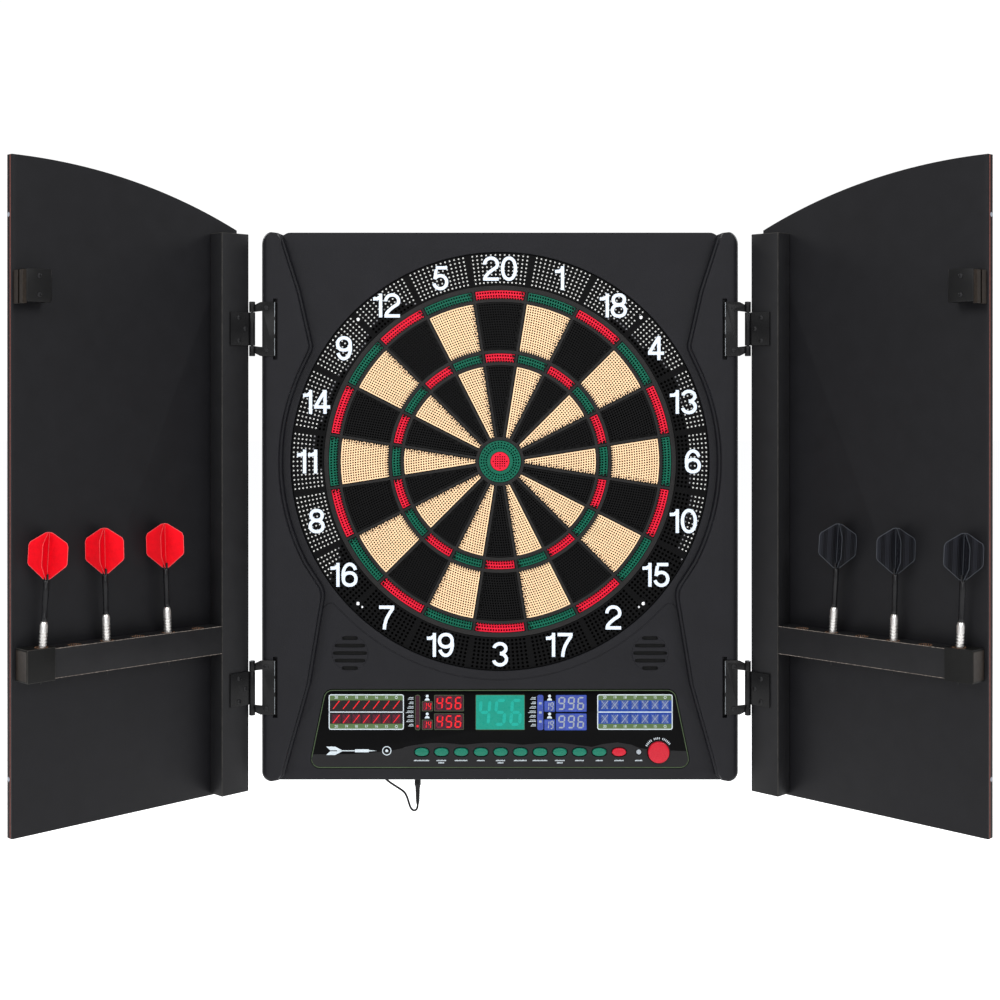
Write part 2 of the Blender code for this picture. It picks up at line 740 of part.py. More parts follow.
def dart_mesh():
    """One soft-tip dart along +Z, its barrel's lower end at the origin."""
    stem_top = BARREL_L + STEM_L
    profile = [
        (0.0, stem_top + FLIGHT_L),
        (0.9 * MM, stem_top + FLIGHT_L),
        (STEM_R, stem_top),
        (STEM_R, BARREL_L),
        (BARREL_R, BARREL_L - 3 * MM),
        (BARREL_R, 0.0),
        (TIP_R, -1.5 * MM),
        (0.4 * MM, -TIP_L),
        (0.0, -TIP_L),
    ]
    dart = turned(profile, 10)
    half = [
        (0.0, 0.0),
        (FLIGHT_R, 14 * MM),
        (FLIGHT_R, 31 * MM),
        (12 * MM, FLIGHT_L),
        (0.0, FLIGHT_L),
    ]
    outline = half + [(-x, z) for x, z in reversed(half[1:-1])]
    outline = [(x, z + stem_top) for x, z in outline]
    for turn in (0.25, 0.75):
        wing = flat([outline], -FLIGHT_T / 2, FLIGHT_T / 2)
        wing.rotation_euler = (0.0, 0.0, math.pi * turn)
        join(dart, wing)
    return bake(dart)


def door(name, side, mesh):
    pin = bpy.data.objects.new(f"{name}_pin", None)
    pin.location = (-side * PIN_X, PIN_Y, 0.0)
    pin.rotation_euler = (0.0, 0.0, -side * math.radians(DOOR_OPEN_DEG))
    PARTS.objects.link(pin)

    finish_part(flat([panel_outline(side)], *PANEL_N), f"{name}_door_panel", "laminate", pin)
    post = box((side * POST_U[0], POST_N[0], POST_Z[0]), (side * POST_U[1], POST_N[1], POST_Z[1]))
    finish_part(post, f"{name}_door_post", "laminate", pin)
    finish_part(dart_shelf(side), f"{name}_dart_shelf", "laminate", pin)
    finish_part(shelf_cap(side), f"{name}_shelf_cap", PLASTIC, pin)
    catch_low = (side * CATCH_BLOCK_U[0], CATCH_BLOCK_N[0], CATCH_BLOCK_Z[0])
    catch = box(catch_low, (side * CATCH_BLOCK_U[1], CATCH_BLOCK_N[1], CATCH_BLOCK_Z[1]))
    finish_part(catch, f"{name}_magnetic_catch", PLASTIC, pin)
    for height, z in HINGE_ZS.items():
        finish_part(door_leaf(side, z), f"{name}_{height}_hinge_door_leaf", "steel_black", pin)
    for number, (k, lean) in enumerate(zip(DART_HOLE_NUMBERS, DART_LEANS_DEG[name]), 1):
        dart = bpy.data.objects.new("dart", mesh)
        dart.location = (side * hole_u(k), HOLE_N, SHELF_Z[1] - HOLE_DEPTH + GAP + lean_lift(lean))
        dart.rotation_euler = (0.0, side * math.radians(lean), 0.0)
        bpy.context.scene.collection.objects.link(dart)
        finish_part(dart, f"{name}_dart_{number}", f"dart_{name}", pin)


def lean_lift(lean_deg):
    """How far a leaning barrel's lower rim would dip below its centre."""
    return BARREL_R * math.sin(math.radians(abs(lean_deg)))


# ---------------------------------------------------------------- hinges


def door_leaf(side, z):
    """The leaf on the door's post, rolled round the pin; in the door's frame."""
    half = DOOR_LEAF_H / 2
    leaf_n = (POST_N[1] + GAP, POST_N[1] + GAP + LEAF_T)
    leaf = box((0.0, leaf_n[0], z - half), (side * 25 * MM, leaf_n[1], z + half))
    join(leaf, rod((0, 0, z - half), (0, 0, z + half), KNUCKLE_R, 14))
    cut(leaf, rod((0, 0, z - half - 1 * MM), (0, 0, z + half + 1 * MM), KNUCKLE_BORE_R, 14))
    return leaf


def frame_leaf(side, z):
    """The leaf on the rail: two arms that carry the pin, and a flange bent into a slot."""
    half = FRAME_LEAF_H / 2
    back_y = RAIL_Y - GAP
    front_y = back_y - LEAF_T
    flat_start = PIN_X - 8 * MM
    window_edge = PIN_X - 10.2 * MM
    knuckle_low = DOOR_LEAF_H / 2 + 0.4 * MM
    outline = [
        (FLANGE_X - 1.5 * MM, half),
        (flat_start, half),
        (PIN_X - 2 * MM, half - 3 * MM),
        (PIN_X, half - 3 * MM),
        (PIN_X, knuckle_low),
        (window_edge, half - ARM_H),
    ]
    outline += [(x, -height) for x, height in reversed(outline)]
    leaf = flat([[(side * x, height + z) for x, height in outline]], front_y, back_y)
    flange_half = half - 0.5 * MM
    flange_low = (side * (FLANGE_X - 1.2 * MM), front_y + 0.4 * MM, z - flange_half)
    join(leaf, box(flange_low, (side * (FLANGE_X + 0.3 * MM), RAIL_Y + 6 * MM, z + flange_half)))
    pin_x = side * PIN_X
    for top in (1, -1):
        start = (pin_x, PIN_Y, z + top * knuckle_low)
        join(leaf, rod(start, (pin_x, PIN_Y, z + top * half), KNUCKLE_R, 14))
    join(leaf, rod((pin_x, PIN_Y, z - half + 1 * MM), (pin_x, PIN_Y, z + half - 1 * MM), PIN_R, 10))
    return leaf


def build():
    front_housing()
    rear_cover()
    target()
    control_panel()
    electronics()
    dc_jack()
    dc_plug()
    power_lead()
    wall_adapter()
    for name, side in (("left", -1), ("right", 1)):
        for height, z in HINGE_ZS.items():
            leaf = frame_leaf(side, z)
            finish_part(leaf, f"{name}_{height}_hinge_frame_leaf", "steel_black")
    prototype = dart_mesh()
    for name, side in (("left", 1), ("right", -1)):
        door(name, side, prototype.data.copy())
    bpy.data.objects.remove(prototype)


build()
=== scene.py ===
import math

import bmesh
import bpy
from mathutils import Matrix, Vector


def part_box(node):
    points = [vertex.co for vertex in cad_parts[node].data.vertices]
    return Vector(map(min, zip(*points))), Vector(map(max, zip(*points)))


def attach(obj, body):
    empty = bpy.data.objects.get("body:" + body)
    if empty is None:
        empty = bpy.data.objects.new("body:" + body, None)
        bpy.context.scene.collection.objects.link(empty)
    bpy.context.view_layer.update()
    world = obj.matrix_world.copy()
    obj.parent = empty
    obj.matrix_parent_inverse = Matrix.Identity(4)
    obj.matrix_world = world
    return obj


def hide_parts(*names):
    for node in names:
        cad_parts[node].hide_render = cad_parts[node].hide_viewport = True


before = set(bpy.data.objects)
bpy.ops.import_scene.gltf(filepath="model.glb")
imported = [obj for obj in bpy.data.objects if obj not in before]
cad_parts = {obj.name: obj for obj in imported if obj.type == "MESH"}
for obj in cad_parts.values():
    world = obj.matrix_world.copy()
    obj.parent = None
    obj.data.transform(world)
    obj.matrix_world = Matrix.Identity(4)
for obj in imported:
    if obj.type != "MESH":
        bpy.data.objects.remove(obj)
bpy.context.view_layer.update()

# The looks of an electronic dartboard in an open two-door cabinet. The object's frame: metres, +Z up,
# the board faces -Y, the origin on the wall behind the bull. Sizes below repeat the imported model's.

MM = 0.001
WELD = 0.002 * MM

# Housing
HALF_W = 238.9 * MM
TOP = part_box("front_housing")[1].z
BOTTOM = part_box("front_housing")[0].z - 0.8 * MM
RAIL_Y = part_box("front_housing")[0].y
FACE_Y = -48.0 * MM
SEAM_Y = -9.0 * MM
WALL = 3.0 * MM
OPENING_R = 211.0 * MM
RAIL_ARC_R = 217.9 * MM
GROOVE_R = 219.7 * MM
SPEAKER = (151.2 * MM, -193.0 * MM)
GRILLE_R = 17.9 * MM

# Target
BEDS = 20
RIDGE = 2.4 * MM
SPIDER_Y = -46.5 * MM
CATCH_Y = -46.0 * MM
BED_Y = -45.5 * MM
WEB_Y = -41.8 * MM
INNER_BULL_R = 9.4 * MM
OUTER_BULL = (9.9 * MM, 21.0 * MM)
RINGS = {
    "doubles": (164.2 * MM, 172.4 * MM),
    "outer_single": (112.8 * MM, 160.4 * MM),
    "triples": (100.6 * MM, 108.7 * MM),
    "inner_single": (25.0 * MM, 96.6 * MM),
}
SPIDER_R = 177.5 * MM
CATCH_R = (177.9 * MM, 210.5 * MM)
BED_GAP = 1.0 * MM
HOLE_DEPTH = 1.5 * MM
BULL_STEPS = 160
NUMBERS = (20, 1, 18, 4, 13, 6, 10, 15, 2, 17, 3, 19, 7, 16, 8, 11, 14, 9, 12, 5)
NUMBER_R = 194.3 * MM
NUMBER_H = 24.0 * MM
NUMBER_STROKE = 3.3 * MM

# Control panel
LENS_Y = -48.2 * MM
BUTTON_Z = -292.4 * MM
FIRST_BUTTON_X = -78.8 * MM
BUTTON_PITCH = 19.87 * MM

# Doors, in a door's own frame: u from the pin to the free edge, n out of the inner face
PIN = (247.2 * MM, -63.0 * MM)
OPEN_DEG = 135.0
SIDES = {"left": 1, "right": -1}
HINGE_ZS = {"upper": 133.0 * MM, "lower": -225.0 * MM}
HOLE_U = 225.0 * MM
HOLE_PITCH = 33.4 * MM
HOLE_N = -9.1 * MM
SHELF_TOP = -160.0 * MM
DART_LEANS_DEG = {"left": (-3.6, 1.3, 2.1), "right": (2.6, 1.6, 3.7)}


# ---------------------------------------------------------------- materials


def shader_of(name):
    made = bpy.data.materials.new(name)
    made.use_nodes = True
    return made, made.node_tree, made.node_tree.nodes["Principled BSDF"]


def link(tree, source, target):
    tree.links.new(source, target)


def noise(tree, place, size, detail=3.0, roughness=0.55, stretch=(1, 1, 1)):
    """A noise texture whose blobs are about size metres across, stretched along the axes."""
    mapping = tree.nodes.new("ShaderNodeMapping")
    mapping.inputs["Scale"].default_value = [s / size for s in stretch]
    link(tree, place, mapping.inputs["Vector"])
    made = tree.nodes.new("ShaderNodeTexNoise")
    made.inputs["Scale"].default_value = 1.0
    made.inputs["Detail"].default_value = detail
    made.inputs["Roughness"].default_value = roughness
    link(tree, mapping.outputs["Vector"], made.inputs["Vector"])
    return made.outputs["Fac"]


def ramp(tree, factor, stops):
    """A colour ramp through (position, colour) stops."""
    made = tree.nodes.new("ShaderNodeValToRGB")
    made.color_ramp.elements[0].position = stops[0][0]
    made.color_ramp.elements[0].color = (*stops[0][1], 1)
    made.color_ramp.elements[1].position = stops[-1][0]
    made.color_ramp.elements[1].color = (*stops[-1][1], 1)
    for position, colour in stops[1:-1]:
        made.color_ramp.elements.new(position).color = (*colour, 1)
    link(tree, factor, made.inputs["Fac"])
    return made.outputs["Color"]


def spread(tree, factor, low, high):
    made = tree.nodes.new("ShaderNodeMapRange")
    made.inputs["From Min"].default_value = 0.3
    made.inputs["From Max"].default_value = 0.7
    made.inputs["To Min"].default_value = low
    made.inputs["To Max"].default_value = high
    link(tree, factor, made.inputs["Value"])
    return made.outputs["Result"]


def bump(tree, shader, height, strength, distance):
    made = tree.nodes.new("ShaderNodeBump")
    made.inputs["Strength"].default_value = strength
    made.inputs["Distance"].default_value = distance
    link(tree, height, made.inputs["Height"])
    link(tree, made.outputs["Normal"], shader.inputs["Normal"])


def shade(colour, factor):
    return tuple(min(1.0, c * factor) for c in colour)


def surface(
    name,
    colour,
    roughness,
    grain=0.6,
    relief=0.25,
    mottle=0.12,
    blotch=18,
    gloss_spread=0.06,
    metallic=0.0,
    coat=0.0,
    glow=0.0,
    specular=0.16,
):
    """Moulded, painted or printed stuff: fine grain in relief, slow changes of shade, uneven gloss. Grain and blotch are in mm."""
    grain, blotch = grain * MM, blotch * MM
    made, tree, shader = shader_of(name)
    shader.inputs["Metallic"].default_value = metallic
    shader.inputs["Coat Weight"].default_value = coat
    shader.inputs["Coat Roughness"].default_value = 0.08
    shader.inputs["Specular IOR Level"].default_value = specular
    place = tree.nodes.new("ShaderNodeTexCoord").outputs["Object"]
    slow = noise(tree, place, blotch, 4.0, 0.6)
    tint = ramp(tree, slow, ((0.3, shade(colour, 1 - mottle)), (0.7, shade(colour, 1 + mottle))))
    link(tree, tint, shader.inputs["Base Color"])
    fine = noise(tree, place, grain, 2.0, 0.5)
    gloss = spread(tree, fine, max(0.02, roughness - gloss_spread), min(1.0, roughness + gloss_spread))
    link(tree, gloss, shader.inputs["Roughness"])
    if relief:
        bump(tree, shader, fine, relief, grain * 0.3)
    # glow makes the surface give off its own colour: real light for the lit displays, painted light on everything
    # else that uses it
    if glow:
        link(tree, tint, shader.inputs["Emission Color"])
        shader.inputs["Emission Strength"].default_value = glow
    return made


def wood_laminate(name, dark, light, roughness):
    """Printed wood grain along Z, under a satin film."""
    made, tree, shader = shader_of(name)
    place = tree.nodes.new("ShaderNodeTexCoord").outputs["Object"]
    figure = noise(tree, place, 9 * MM, 5.0, 0.62, (1, 1, 0.055))
    pores = noise(tree, place, 1.1 * MM, 3.0, 0.6, (1, 1, 0.06))
    blend = tree.nodes.new("ShaderNodeMix")
    blend.inputs["Factor"].default_value = 0.35
    link(tree, figure, blend.inputs["A"])
    link(tree, pores, blend.inputs["B"])
    middle = tuple((a + b) / 2 for a, b in zip(dark, light))
    tint = ramp(tree, blend.outputs["Result"], ((0.34, dark), (0.5, middle), (0.66, light)))
    link(tree, tint, shader.inputs["Base Color"])
    link(tree, spread(tree, pores, roughness - 0.07, roughness + 0.07), shader.inputs["Roughness"])
    bump(tree, shader, pores, 0.12, 0.1 * MM)
    return made


def carbon_weave(name, dark, light):
    """Two-by-two squares of dark and darker film, like woven carbon."""
    made, tree, shader = shader_of(name)
    place = tree.nodes.new("ShaderNodeTexCoord").outputs["Object"]
    mapping = tree.nodes.new("ShaderNodeMapping")
    mapping.inputs["Rotation"].default_value = (0.0, math.radians(45), 0.0)
    link(tree, place, mapping.inputs["Vector"])
    checks = tree.nodes.new("ShaderNodeTexChecker")
    checks.inputs["Scale"].default_value = 1 / (1.3 * MM)
    checks.inputs["Color1"].default_value = (*dark, 1)
    checks.inputs["Color2"].default_value = (*light, 1)
    link(tree, mapping.outputs["Vector"], checks.inputs["Vector"])
    link(tree, checks.outputs["Color"], shader.inputs["Base Color"])
    shader.inputs["Specular IOR Level"].default_value = 0.06
    gloss = noise(tree, place, 0.6 * MM)
    link(tree, spread(tree, gloss, 0.16, 0.3), shader.inputs["Roughness"])
    bump(tree, shader, checks.outputs["Fac"], 0.2, 0.05 * MM)
    return made


def knurled_metal(name, colour):
    made, tree, shader = shader_of(name)
    place = tree.nodes.new("ShaderNodeTexCoord").outputs["Object"]
    scratch = noise(tree, place, 1.2 * MM, 4.0, 0.6, (1, 1, 6))
    tint = ramp(tree, scratch, ((0.3, shade(colour, 0.72)), (0.7, colour)))
    link(tree, tint, shader.inputs["Base Color"])
    link(tree, spread(tree, scratch, 0.2, 0.38), shader.inputs["Roughness"])
    shader.inputs["Metallic"].default_value = 0.85
    bump(tree, shader, scratch, 0.2, 0.05 * MM)
    return made


def circuit_board(name, mask, track):
    """Green solder mask with straight tracks and pads under it."""
    made, tree, shader = shader_of(name)
    place = tree.nodes.new("ShaderNodeTexCoord").outputs["Object"]
    bricks = tree.nodes.new("ShaderNodeTexBrick")
    bricks.inputs["Scale"].default_value = 1.0
    bricks.inputs["Brick Width"].default_value = 6 * MM
    bricks.inputs["Row Height"].default_value = 1.6 * MM
    bricks.inputs["Mortar Size"].default_value = 0.22 * MM
    bricks.inputs["Color1"].default_value = (*mask, 1)
    bricks.inputs["Color2"].default_value = (*shade(mask, 0.75), 1)
    bricks.inputs["Mortar"].default_value = (*track, 1)
    swap = tree.nodes.new("ShaderNodeMapping")
    swap.inputs["Rotation"].default_value = (math.radians(90), 0.0, 0.0)
    link(tree, place, swap.inputs["Vector"])
    link(tree, swap.outputs["Vector"], bricks.inputs["Vector"])
    link(tree, bricks.outputs["Color"], shader.inputs["Base Color"])
    gloss = noise(tree, place, 3 * MM)
    link(tree, spread(tree, gloss, 0.25, 0.4), shader.inputs["Roughness"])
    bump(tree, shader, bricks.outputs["Fac"], 0.3, 0.05 * MM)
    return made


M = {
    "housing": surface("housing_black", (0.0072, 0.0072, 0.0092), 0.50, 0.9, 0.5, 0.10, 30),
    "housing_dark": surface("housing_recess", (0.006, 0.006, 0.007), 0.6, 0.9, 0.4),
    "ridge": surface("spider_plastic", (0.0105, 0.0100, 0.0100), 0.42, 0.5, 0.15, 0.15),
    "catch": surface("catch_black", (0.0012, 0.0012, 0.0014), 0.6, 0.5, 0.1, 0.2, specular=0.08),
    # Near black with no reflection: painted shade for the dark depth of the shallow holes and of the catch's slot
    "hole": surface("hole_floor_painted_shade", (0.0010, 0.0009, 0.0009), 0.9, 0.5, 0.0, specular=0.0),
    # Painted light: faintly glowing white floors, grey where the white ends, for the light seen through the catch
    # ring's upper holes
    "hole_white": surface("catch_floor_painted_light_white", (0.56, 0.56, 0.54), 0.5, 1.0, 0.0, 0.12, 6, glow=0.02),
    "hole_grey": surface("catch_floor_painted_light_grey", (0.16, 0.16, 0.17), 0.5, 1.0, 0.0, 0.2, 4),
    "bed_black": surface("segment_black", (0.0022, 0.0022, 0.0024), 0.45, 0.5, 0.1, 0.2, specular=0.1),
    "bed_beige": surface("segment_beige", (0.86, 0.60, 0.36), 0.42, 0.5, 0.08, 0.05),
    "bed_red": surface("segment_red", (0.66, 0.006, 0.030), 0.38, 0.5, 0.08, 0.06),
    "bed_green": surface("segment_green", (0.0, 0.095, 0.055), 0.38, 0.5, 0.08, 0.08),
    # White print; its glow is painted light, since the figures are no lamp
    "number": surface("number_white", (0.62, 0.69, 0.78), 0.35, 0.7, 0.05, 0.03, glow=0.04),
    "lens": surface(
        "lens_gloss", (0.0009, 0.0009, 0.0011), 0.09, 2.0, 0.0, 0.2, gloss_spread=0.02, specular=0.05
    ),
    "strip": surface("panel_satin", (0.0085, 0.0085, 0.0092), 0.4, 0.6, 0.15, 0.1, 25),
    "outline": surface("outline_green", (0.050, 0.076, 0.036), 0.4, 0.6, 0.05, 0.12, 6),
    "olive": surface("print_olive", (0.075, 0.122, 0.045), 0.4, 0.6, 0.05, 0.08, 4),
    # White print; its glow is painted light, since the print is no lamp
    "print": surface("print_white", (0.50, 0.56, 0.60), 0.4, 0.6, 0.04, 0.05, 4, glow=0.03),
    "led_dark": surface("display_dark_red", (0.030, 0.002, 0.010), 0.25, 1.2, 0.0, 0.35, 3, coat=0.1),
    "led_black": surface("display_black", (0.004, 0.001, 0.002), 0.25, 1.2, 0.0, 0.35, 3, coat=0.1),
    "led_on": surface("display_red", (0.62, 0.008, 0.014), 0.3, 0.8, 0.0, 0.15, 3, glow=0.18),
    "led_dim": surface("display_dim_red", (0.13, 0.004, 0.018), 0.3, 0.8, 0.0, 0.2, 3),
    "lcd_teal": surface("display_teal", (0.0, 0.205, 0.150), 0.3, 3.0, 0.0, 0.07, 14, coat=0.1, glow=0.08),
    "lcd_teal_lit": surface("display_teal_digit", (0.006, 0.27, 0.215), 0.3, 2, 0.0, 0.06, 8, glow=0.12),
    "lcd_blue": surface("display_blue", (0.032, 0.055, 0.27), 0.28, 2.0, 0.0, 0.2, 8, coat=0.1, glow=0.08),
    "lcd_deep": surface("display_deep_blue", (0.010, 0.038, 0.215), 0.28, 2.0, 0.0, 0.2, 8, glow=0.1),
    "lcd_grey": surface("display_grey", (0.23, 0.26, 0.30), 0.35, 1.0, 0.0, 0.12, 4, glow=0.08),
    "button_green": surface(
        "button_green", (0.0, 0.130, 0.080), 0.3, 0.9, 0.06, 0.05, 4, coat=0.05, specular=0.25
    ),
    "button_red": surface(
        "button_red", (0.44, 0.004, 0.018), 0.3, 0.9, 0.06, 0.05, 5, coat=0.05, specular=0.25
    ),
    "button_grey": surface("reset_grey", (0.30, 0.33, 0.36), 0.4, 0.5, 0.1, 0.08, 2),
    "laminate": surface("laminate_black", (0.0062, 0.0062, 0.0075), 0.52, 0.7, 0.35, 0.13, 20),
    "post": surface("laminate_post", (0.0095, 0.0095, 0.0105), 0.5, 0.7, 0.3, 0.12, 20),
    "worn": surface("laminate_worn_edge", (0.14, 0.120, 0.105), 0.55, 1.2, 0.3, 0.7, 2.2),
    "cap": surface("cap_black", (0.0040, 0.0040, 0.0038), 0.5, 0.7, 0.3, 0.2, 12),
    "cap_end": surface("cap_end_worn", (0.006, 0.0052, 0.0042), 0.55, 1.2, 0.3, 0.6, 3, specular=0.15),
    # Lighter bevel faces: wear on the laminate's edges, and painted highlight on the hinge leaves' edges
    "edge_wear_and_highlight": surface("soft_edge_wear_and_hinge_highlight", (0.026, 0.0245, 0.022), 0.5, 1.2, 0.2, 0.5, 6),
    "cherry": wood_laminate("laminate_cherry", (0.045, 0.008, 0.004), (0.16, 0.035, 0.014), 0.38),
    "core": surface("board_core", (0.15, 0.050, 0.040), 0.85, 0.5, 0.6, 0.3, 1.6, specular=0.2),
    "fibre": surface("board_fibre", (0.20, 0.105, 0.06), 0.9, 0.4, 0.7, 0.35, 1.0, specular=0.2),
    "hinge": surface("hinge_black", (0.0030, 0.0030, 0.0034), 0.30, 0.6, 0.12, 0.25, 6, coat=0.04),
    # Bare steel of the hinge pin ends, and of the thin strips by the rail's slots, which are a painted highlight
    "bright": surface(
        "hinge_steel_and_painted_highlight", (0.26, 0.28, 0.30), 0.3, 0.5, 0.1, 0.2, 3, metallic=0.9, specular=0.5
    ),
    # Steel heads; their glow is a painted shine, since they are no lamp
    "screw": surface(
        "screw_steel", (0.72, 0.73, 0.75), 0.25, 0.4, 0.1, 0.12, 2, metallic=0.8, glow=0.1, specular=0.5
    ),
    "screw_black": surface("screw_black", (0.012, 0.012, 0.013), 0.35, 0.4, 0.15, 0.3, 2),
    "catch_plastic": surface("catch_plastic", (0.0050, 0.0050, 0.0052), 0.4, 0.5, 0.15, 0.15, 6),
    "strike": surface("magnet_strike", (0.020, 0.0150, 0.0115), 0.42, 0.5, 0.3, 0.35, 3, metallic=0.3),
    "barrel": knurled_metal("dart_barrel", (0.82, 0.80, 0.78)),
    "stem": surface("dart_stem", (0.006, 0.006, 0.007), 0.3, 0.8, 0.05, 0.15, 5, coat=0.2),
    "tip": surface("dart_tip", (0.010, 0.010, 0.010), 0.42, 0.5, 0.1, 0.15, 3),
    "flight_red": surface("flight_red", (0.66, 0.0010, 0.008), 0.35, 1.1, 0.05, 0.08, 5, specular=0.08),
    "flight_edge": surface("flight_red_edge", (0.66, 0.07, 0.075), 0.35, 1.1, 0.05, 0.08, 5),
    "flight_black": carbon_weave("flight_black", (0.0012, 0.0012, 0.0016), (0.016, 0.017, 0.022)),
    "flight_grey": surface("flight_black_edge", (0.05, 0.055, 0.065), 0.35, 1.1, 0.05, 0.2, 5),
    "lead": surface("lead_black", (0.007, 0.007, 0.008), 0.45, 0.5, 0.1, 0.15, 9),
    "adapter": surface("adapter_black", (0.010, 0.010, 0.011), 0.5, 0.6, 0.5, 0.12, 9),
    "brass": surface("prong_brass", (0.62, 0.45, 0.20), 0.28, 0.5, 0.1, 0.12, 3, metallic=0.95, specular=0.5),
    "film": surface("matrix_film", (0.022, 0.022, 0.021), 0.35, 1.5, 0.1, 0.08, 12),
    "silicone": surface("pad_silicone", (0.16, 0.16, 0.17), 0.7, 0.5, 0.2, 0.08, 9),
    "board": circuit_board("circuit_green", (0.012, 0.10, 0.03), (0.03, 0.17, 0.06)),
    "paper_cone": surface("speaker_cone", (0.010, 0.010, 0.010), 0.85, 0.5, 0.6, 0.2, 2),
}


# ---------------------------------------------------------------- shapes


def mm(points):
    """The same points, given in millimetres, in metres."""
    return [tuple(value * MM for value in point) for point in points]


def new_object(name, data):
    made = bpy.data.objects.new(name, data)
    bpy.context.scene.collection.objects.link(made)
    return made


def clean(mesh, weld=True):
    """Joins points that coincide and turns the faces outwards."""
    edit = bmesh.new()
    edit.from_mesh(mesh)
    if weld:
        bmesh.ops.remove_doubles(edit, verts=edit.verts, dist=WELD)
    bmesh.ops.recalc_face_normals(edit, faces=edit.faces)
    edit.to_mesh(mesh)
    edit.free()


class Shape:
    """Points and faces gathered for one piece; each face carries the number of its material."""

    def __init__(self):
        self.points = []
        self.faces = []
        self.kinds = []

    def add(self, points, faces, kind=0):
        start = len(self.points)
        self.points += [Vector(p) for p in points]
        self.faces += [tuple(start + i for i in face) for face in faces]
        self.kinds += [kind] * len(faces)

    def loft(self, rings, kind=0, first_cap=False, last_cap=False):
        """Joins closed rings of equally many points, one after another."""
        count = len(rings[0])
        points = [p for ring in rings for p in ring]
        faces = []
        for k in range(len(rings) - 1):
            for i in range(count):
                j = (i + 1) % count
                faces.append((k * count + i, k * count + j, (k + 1) * count + j, (k + 1) * count + i))
        if first_cap:
            faces.append(tuple(range(count)))
        if last_cap:
            faces.append(tuple(range((len(rings) - 1) * count, len(rings) * count)))
        self.add(points, faces, kind)

    def block(self, low, high, kind=0):
        x = (low[0], high[0])
        y = (low[1], high[1])
        z = (low[2], high[2])
        corners = [(x[i & 1], y[i >> 1 & 1], z[i >> 2]) for i in range(8)]
        sides = [(0, 1, 3, 2), (4, 5, 7, 6), (0, 1, 5, 4), (2, 3, 7, 6), (0, 2, 6, 4), (1, 3, 7, 5)]
        self.add(corners, sides, kind)

    def turn(self, profile, steps=32, kind=0, at=(0, 0, 0), tilt=None):
        """A turned shape about Z from (radius, z) points, then tilted and put in its place."""
        rings = [
            [
                (
                    r * math.cos(2 * math.pi * i / steps), r * math.sin(2 * math.pi * i / steps), z
                ) for i in range(steps)
            ]
            for r, z in profile
        ]
        place = Matrix.Translation(at) @ (tilt or Matrix.Identity(4))
        rings = [[place @ Vector(p) for p in ring] for ring in rings]
        self.loft(rings, kind, True, True)

    def merge(self, other, move=None):
        points = [move @ p for p in other.points] if move else other.points
        start = len(self.points)
        self.points += points
        self.faces += [tuple(start + i for i in face) for face in other.faces]
        self.kinds += other.kinds

    def object(self, name, materials, smooth_deg=None, weld=True):
        mesh = bpy.data.meshes.new(name)
        mesh.from_pydata(self.points, [], self.faces)
        for key in materials:
            mesh.materials.append(M[key])
        mesh.polygons.foreach_set("material_index", self.kinds)
        clean(mesh, weld)
        made = new_object(name, mesh)
        return smooth(made, smooth_deg) if smooth_deg else made


def paint(obj, *materials):
    obj.data.materials.clear()
    for key in materials:
        obj.data.materials.append(M[key])
    return obj


def settle(obj, body, slot, *nodes):
    """The piece rides on its body and stands for CAD nodes, which it hides; slot is not used."""
    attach(obj, body)
    if nodes:
        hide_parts(*nodes)
    return obj


def applied(obj):
    """The object with its modifiers, or its curve, made into its mesh, under the same name."""
    bpy.context.view_layer.update()
    graph = bpy.context.evaluated_depsgraph_get()
    mesh = bpy.data.meshes.new_from_object(obj.evaluated_get(graph))
    mesh.transform(obj.matrix_world)
    clean(mesh)
    name = obj.name
    bpy.data.objects.remove(obj)
    return new_object(name, mesh)


def smooth(obj, angle_deg=30):
    """Smooth shading, with edges sharper than the angle left sharp."""
    obj.data.shade_smooth()
    obj.data.set_sharp_from_angle(angle=math.radians(angle_deg))
    return obj


def cut(obj, cutter):
    modifier = obj.modifiers.new("cut", "BOOLEAN")
    modifier.operation = "DIFFERENCE"
    modifier.object = cutter
    made = applied(obj)
    bpy.data.objects.remove(cutter)
    return made


def finish(obj, key, body, slot, *nodes):
    """A smoothed piece in one material, settled."""
    return settle(smooth(paint(obj, key)), body, slot, *nodes)


def arc(radius, start_deg, end_deg, steps, centre=(0.0, 0.0)):
    points = []
    for i in range(steps + 1):
        angle = math.radians(start_deg + (end_deg - start_deg) * i / steps)
        points.append((centre[0] + radius * math.cos(angle), centre[1] + radius * math.sin(angle)))
    return points


def circle(radius, steps, centre=(0.0, 0.0)):
    return arc(radius, 0.0, 360.0, steps, centre)[:-1]


def ellipse(width, height, centre, steps=40, power=2.0):
    points = []
    for i in range(steps):
        angle = 2 * math.pi * i / steps
        c, s = math.cos(angle), math.sin(angle)
        x = math.copysign(abs(c) ** (2 / power), c) * width / 2
        z = math.copysign(abs(s) ** (2 / power), s) * height / 2
        points.append((centre[0] + x, centre[1] + z))
    return points


def rounded(corners, radius, steps=8):
    """The outline of convex corners with each one rounded."""
    outline = []
    count = len(corners)
    for i, corner in enumerate(corners):
        here = Vector(corner)
        back = (Vector(corners[i - 1]) - here).normalized()
        ahead = (Vector(corners[(i + 1) % count]) - here).normalized()
        half = back.angle(ahead) / 2
        centre = here + (back + ahead).normalized() * radius / math.sin(half)
        first = (here + back * radius / math.tan(half) - centre).normalized()
        last = (here + ahead * radius / math.tan(half) - centre).normalized()
        for k in range(steps + 1):
            outline.append(tuple(centre + first.slerp(last, k / steps) * radius))
    return outline


def rectangle(low_x, low_z, high_x, high_z, radius=0.0):
    corners = [(low_x, high_z), (high_x, high_z), (high_x, low_z), (low_x, low_z)]
    return rounded(corners, radius, 4) if radius else corners


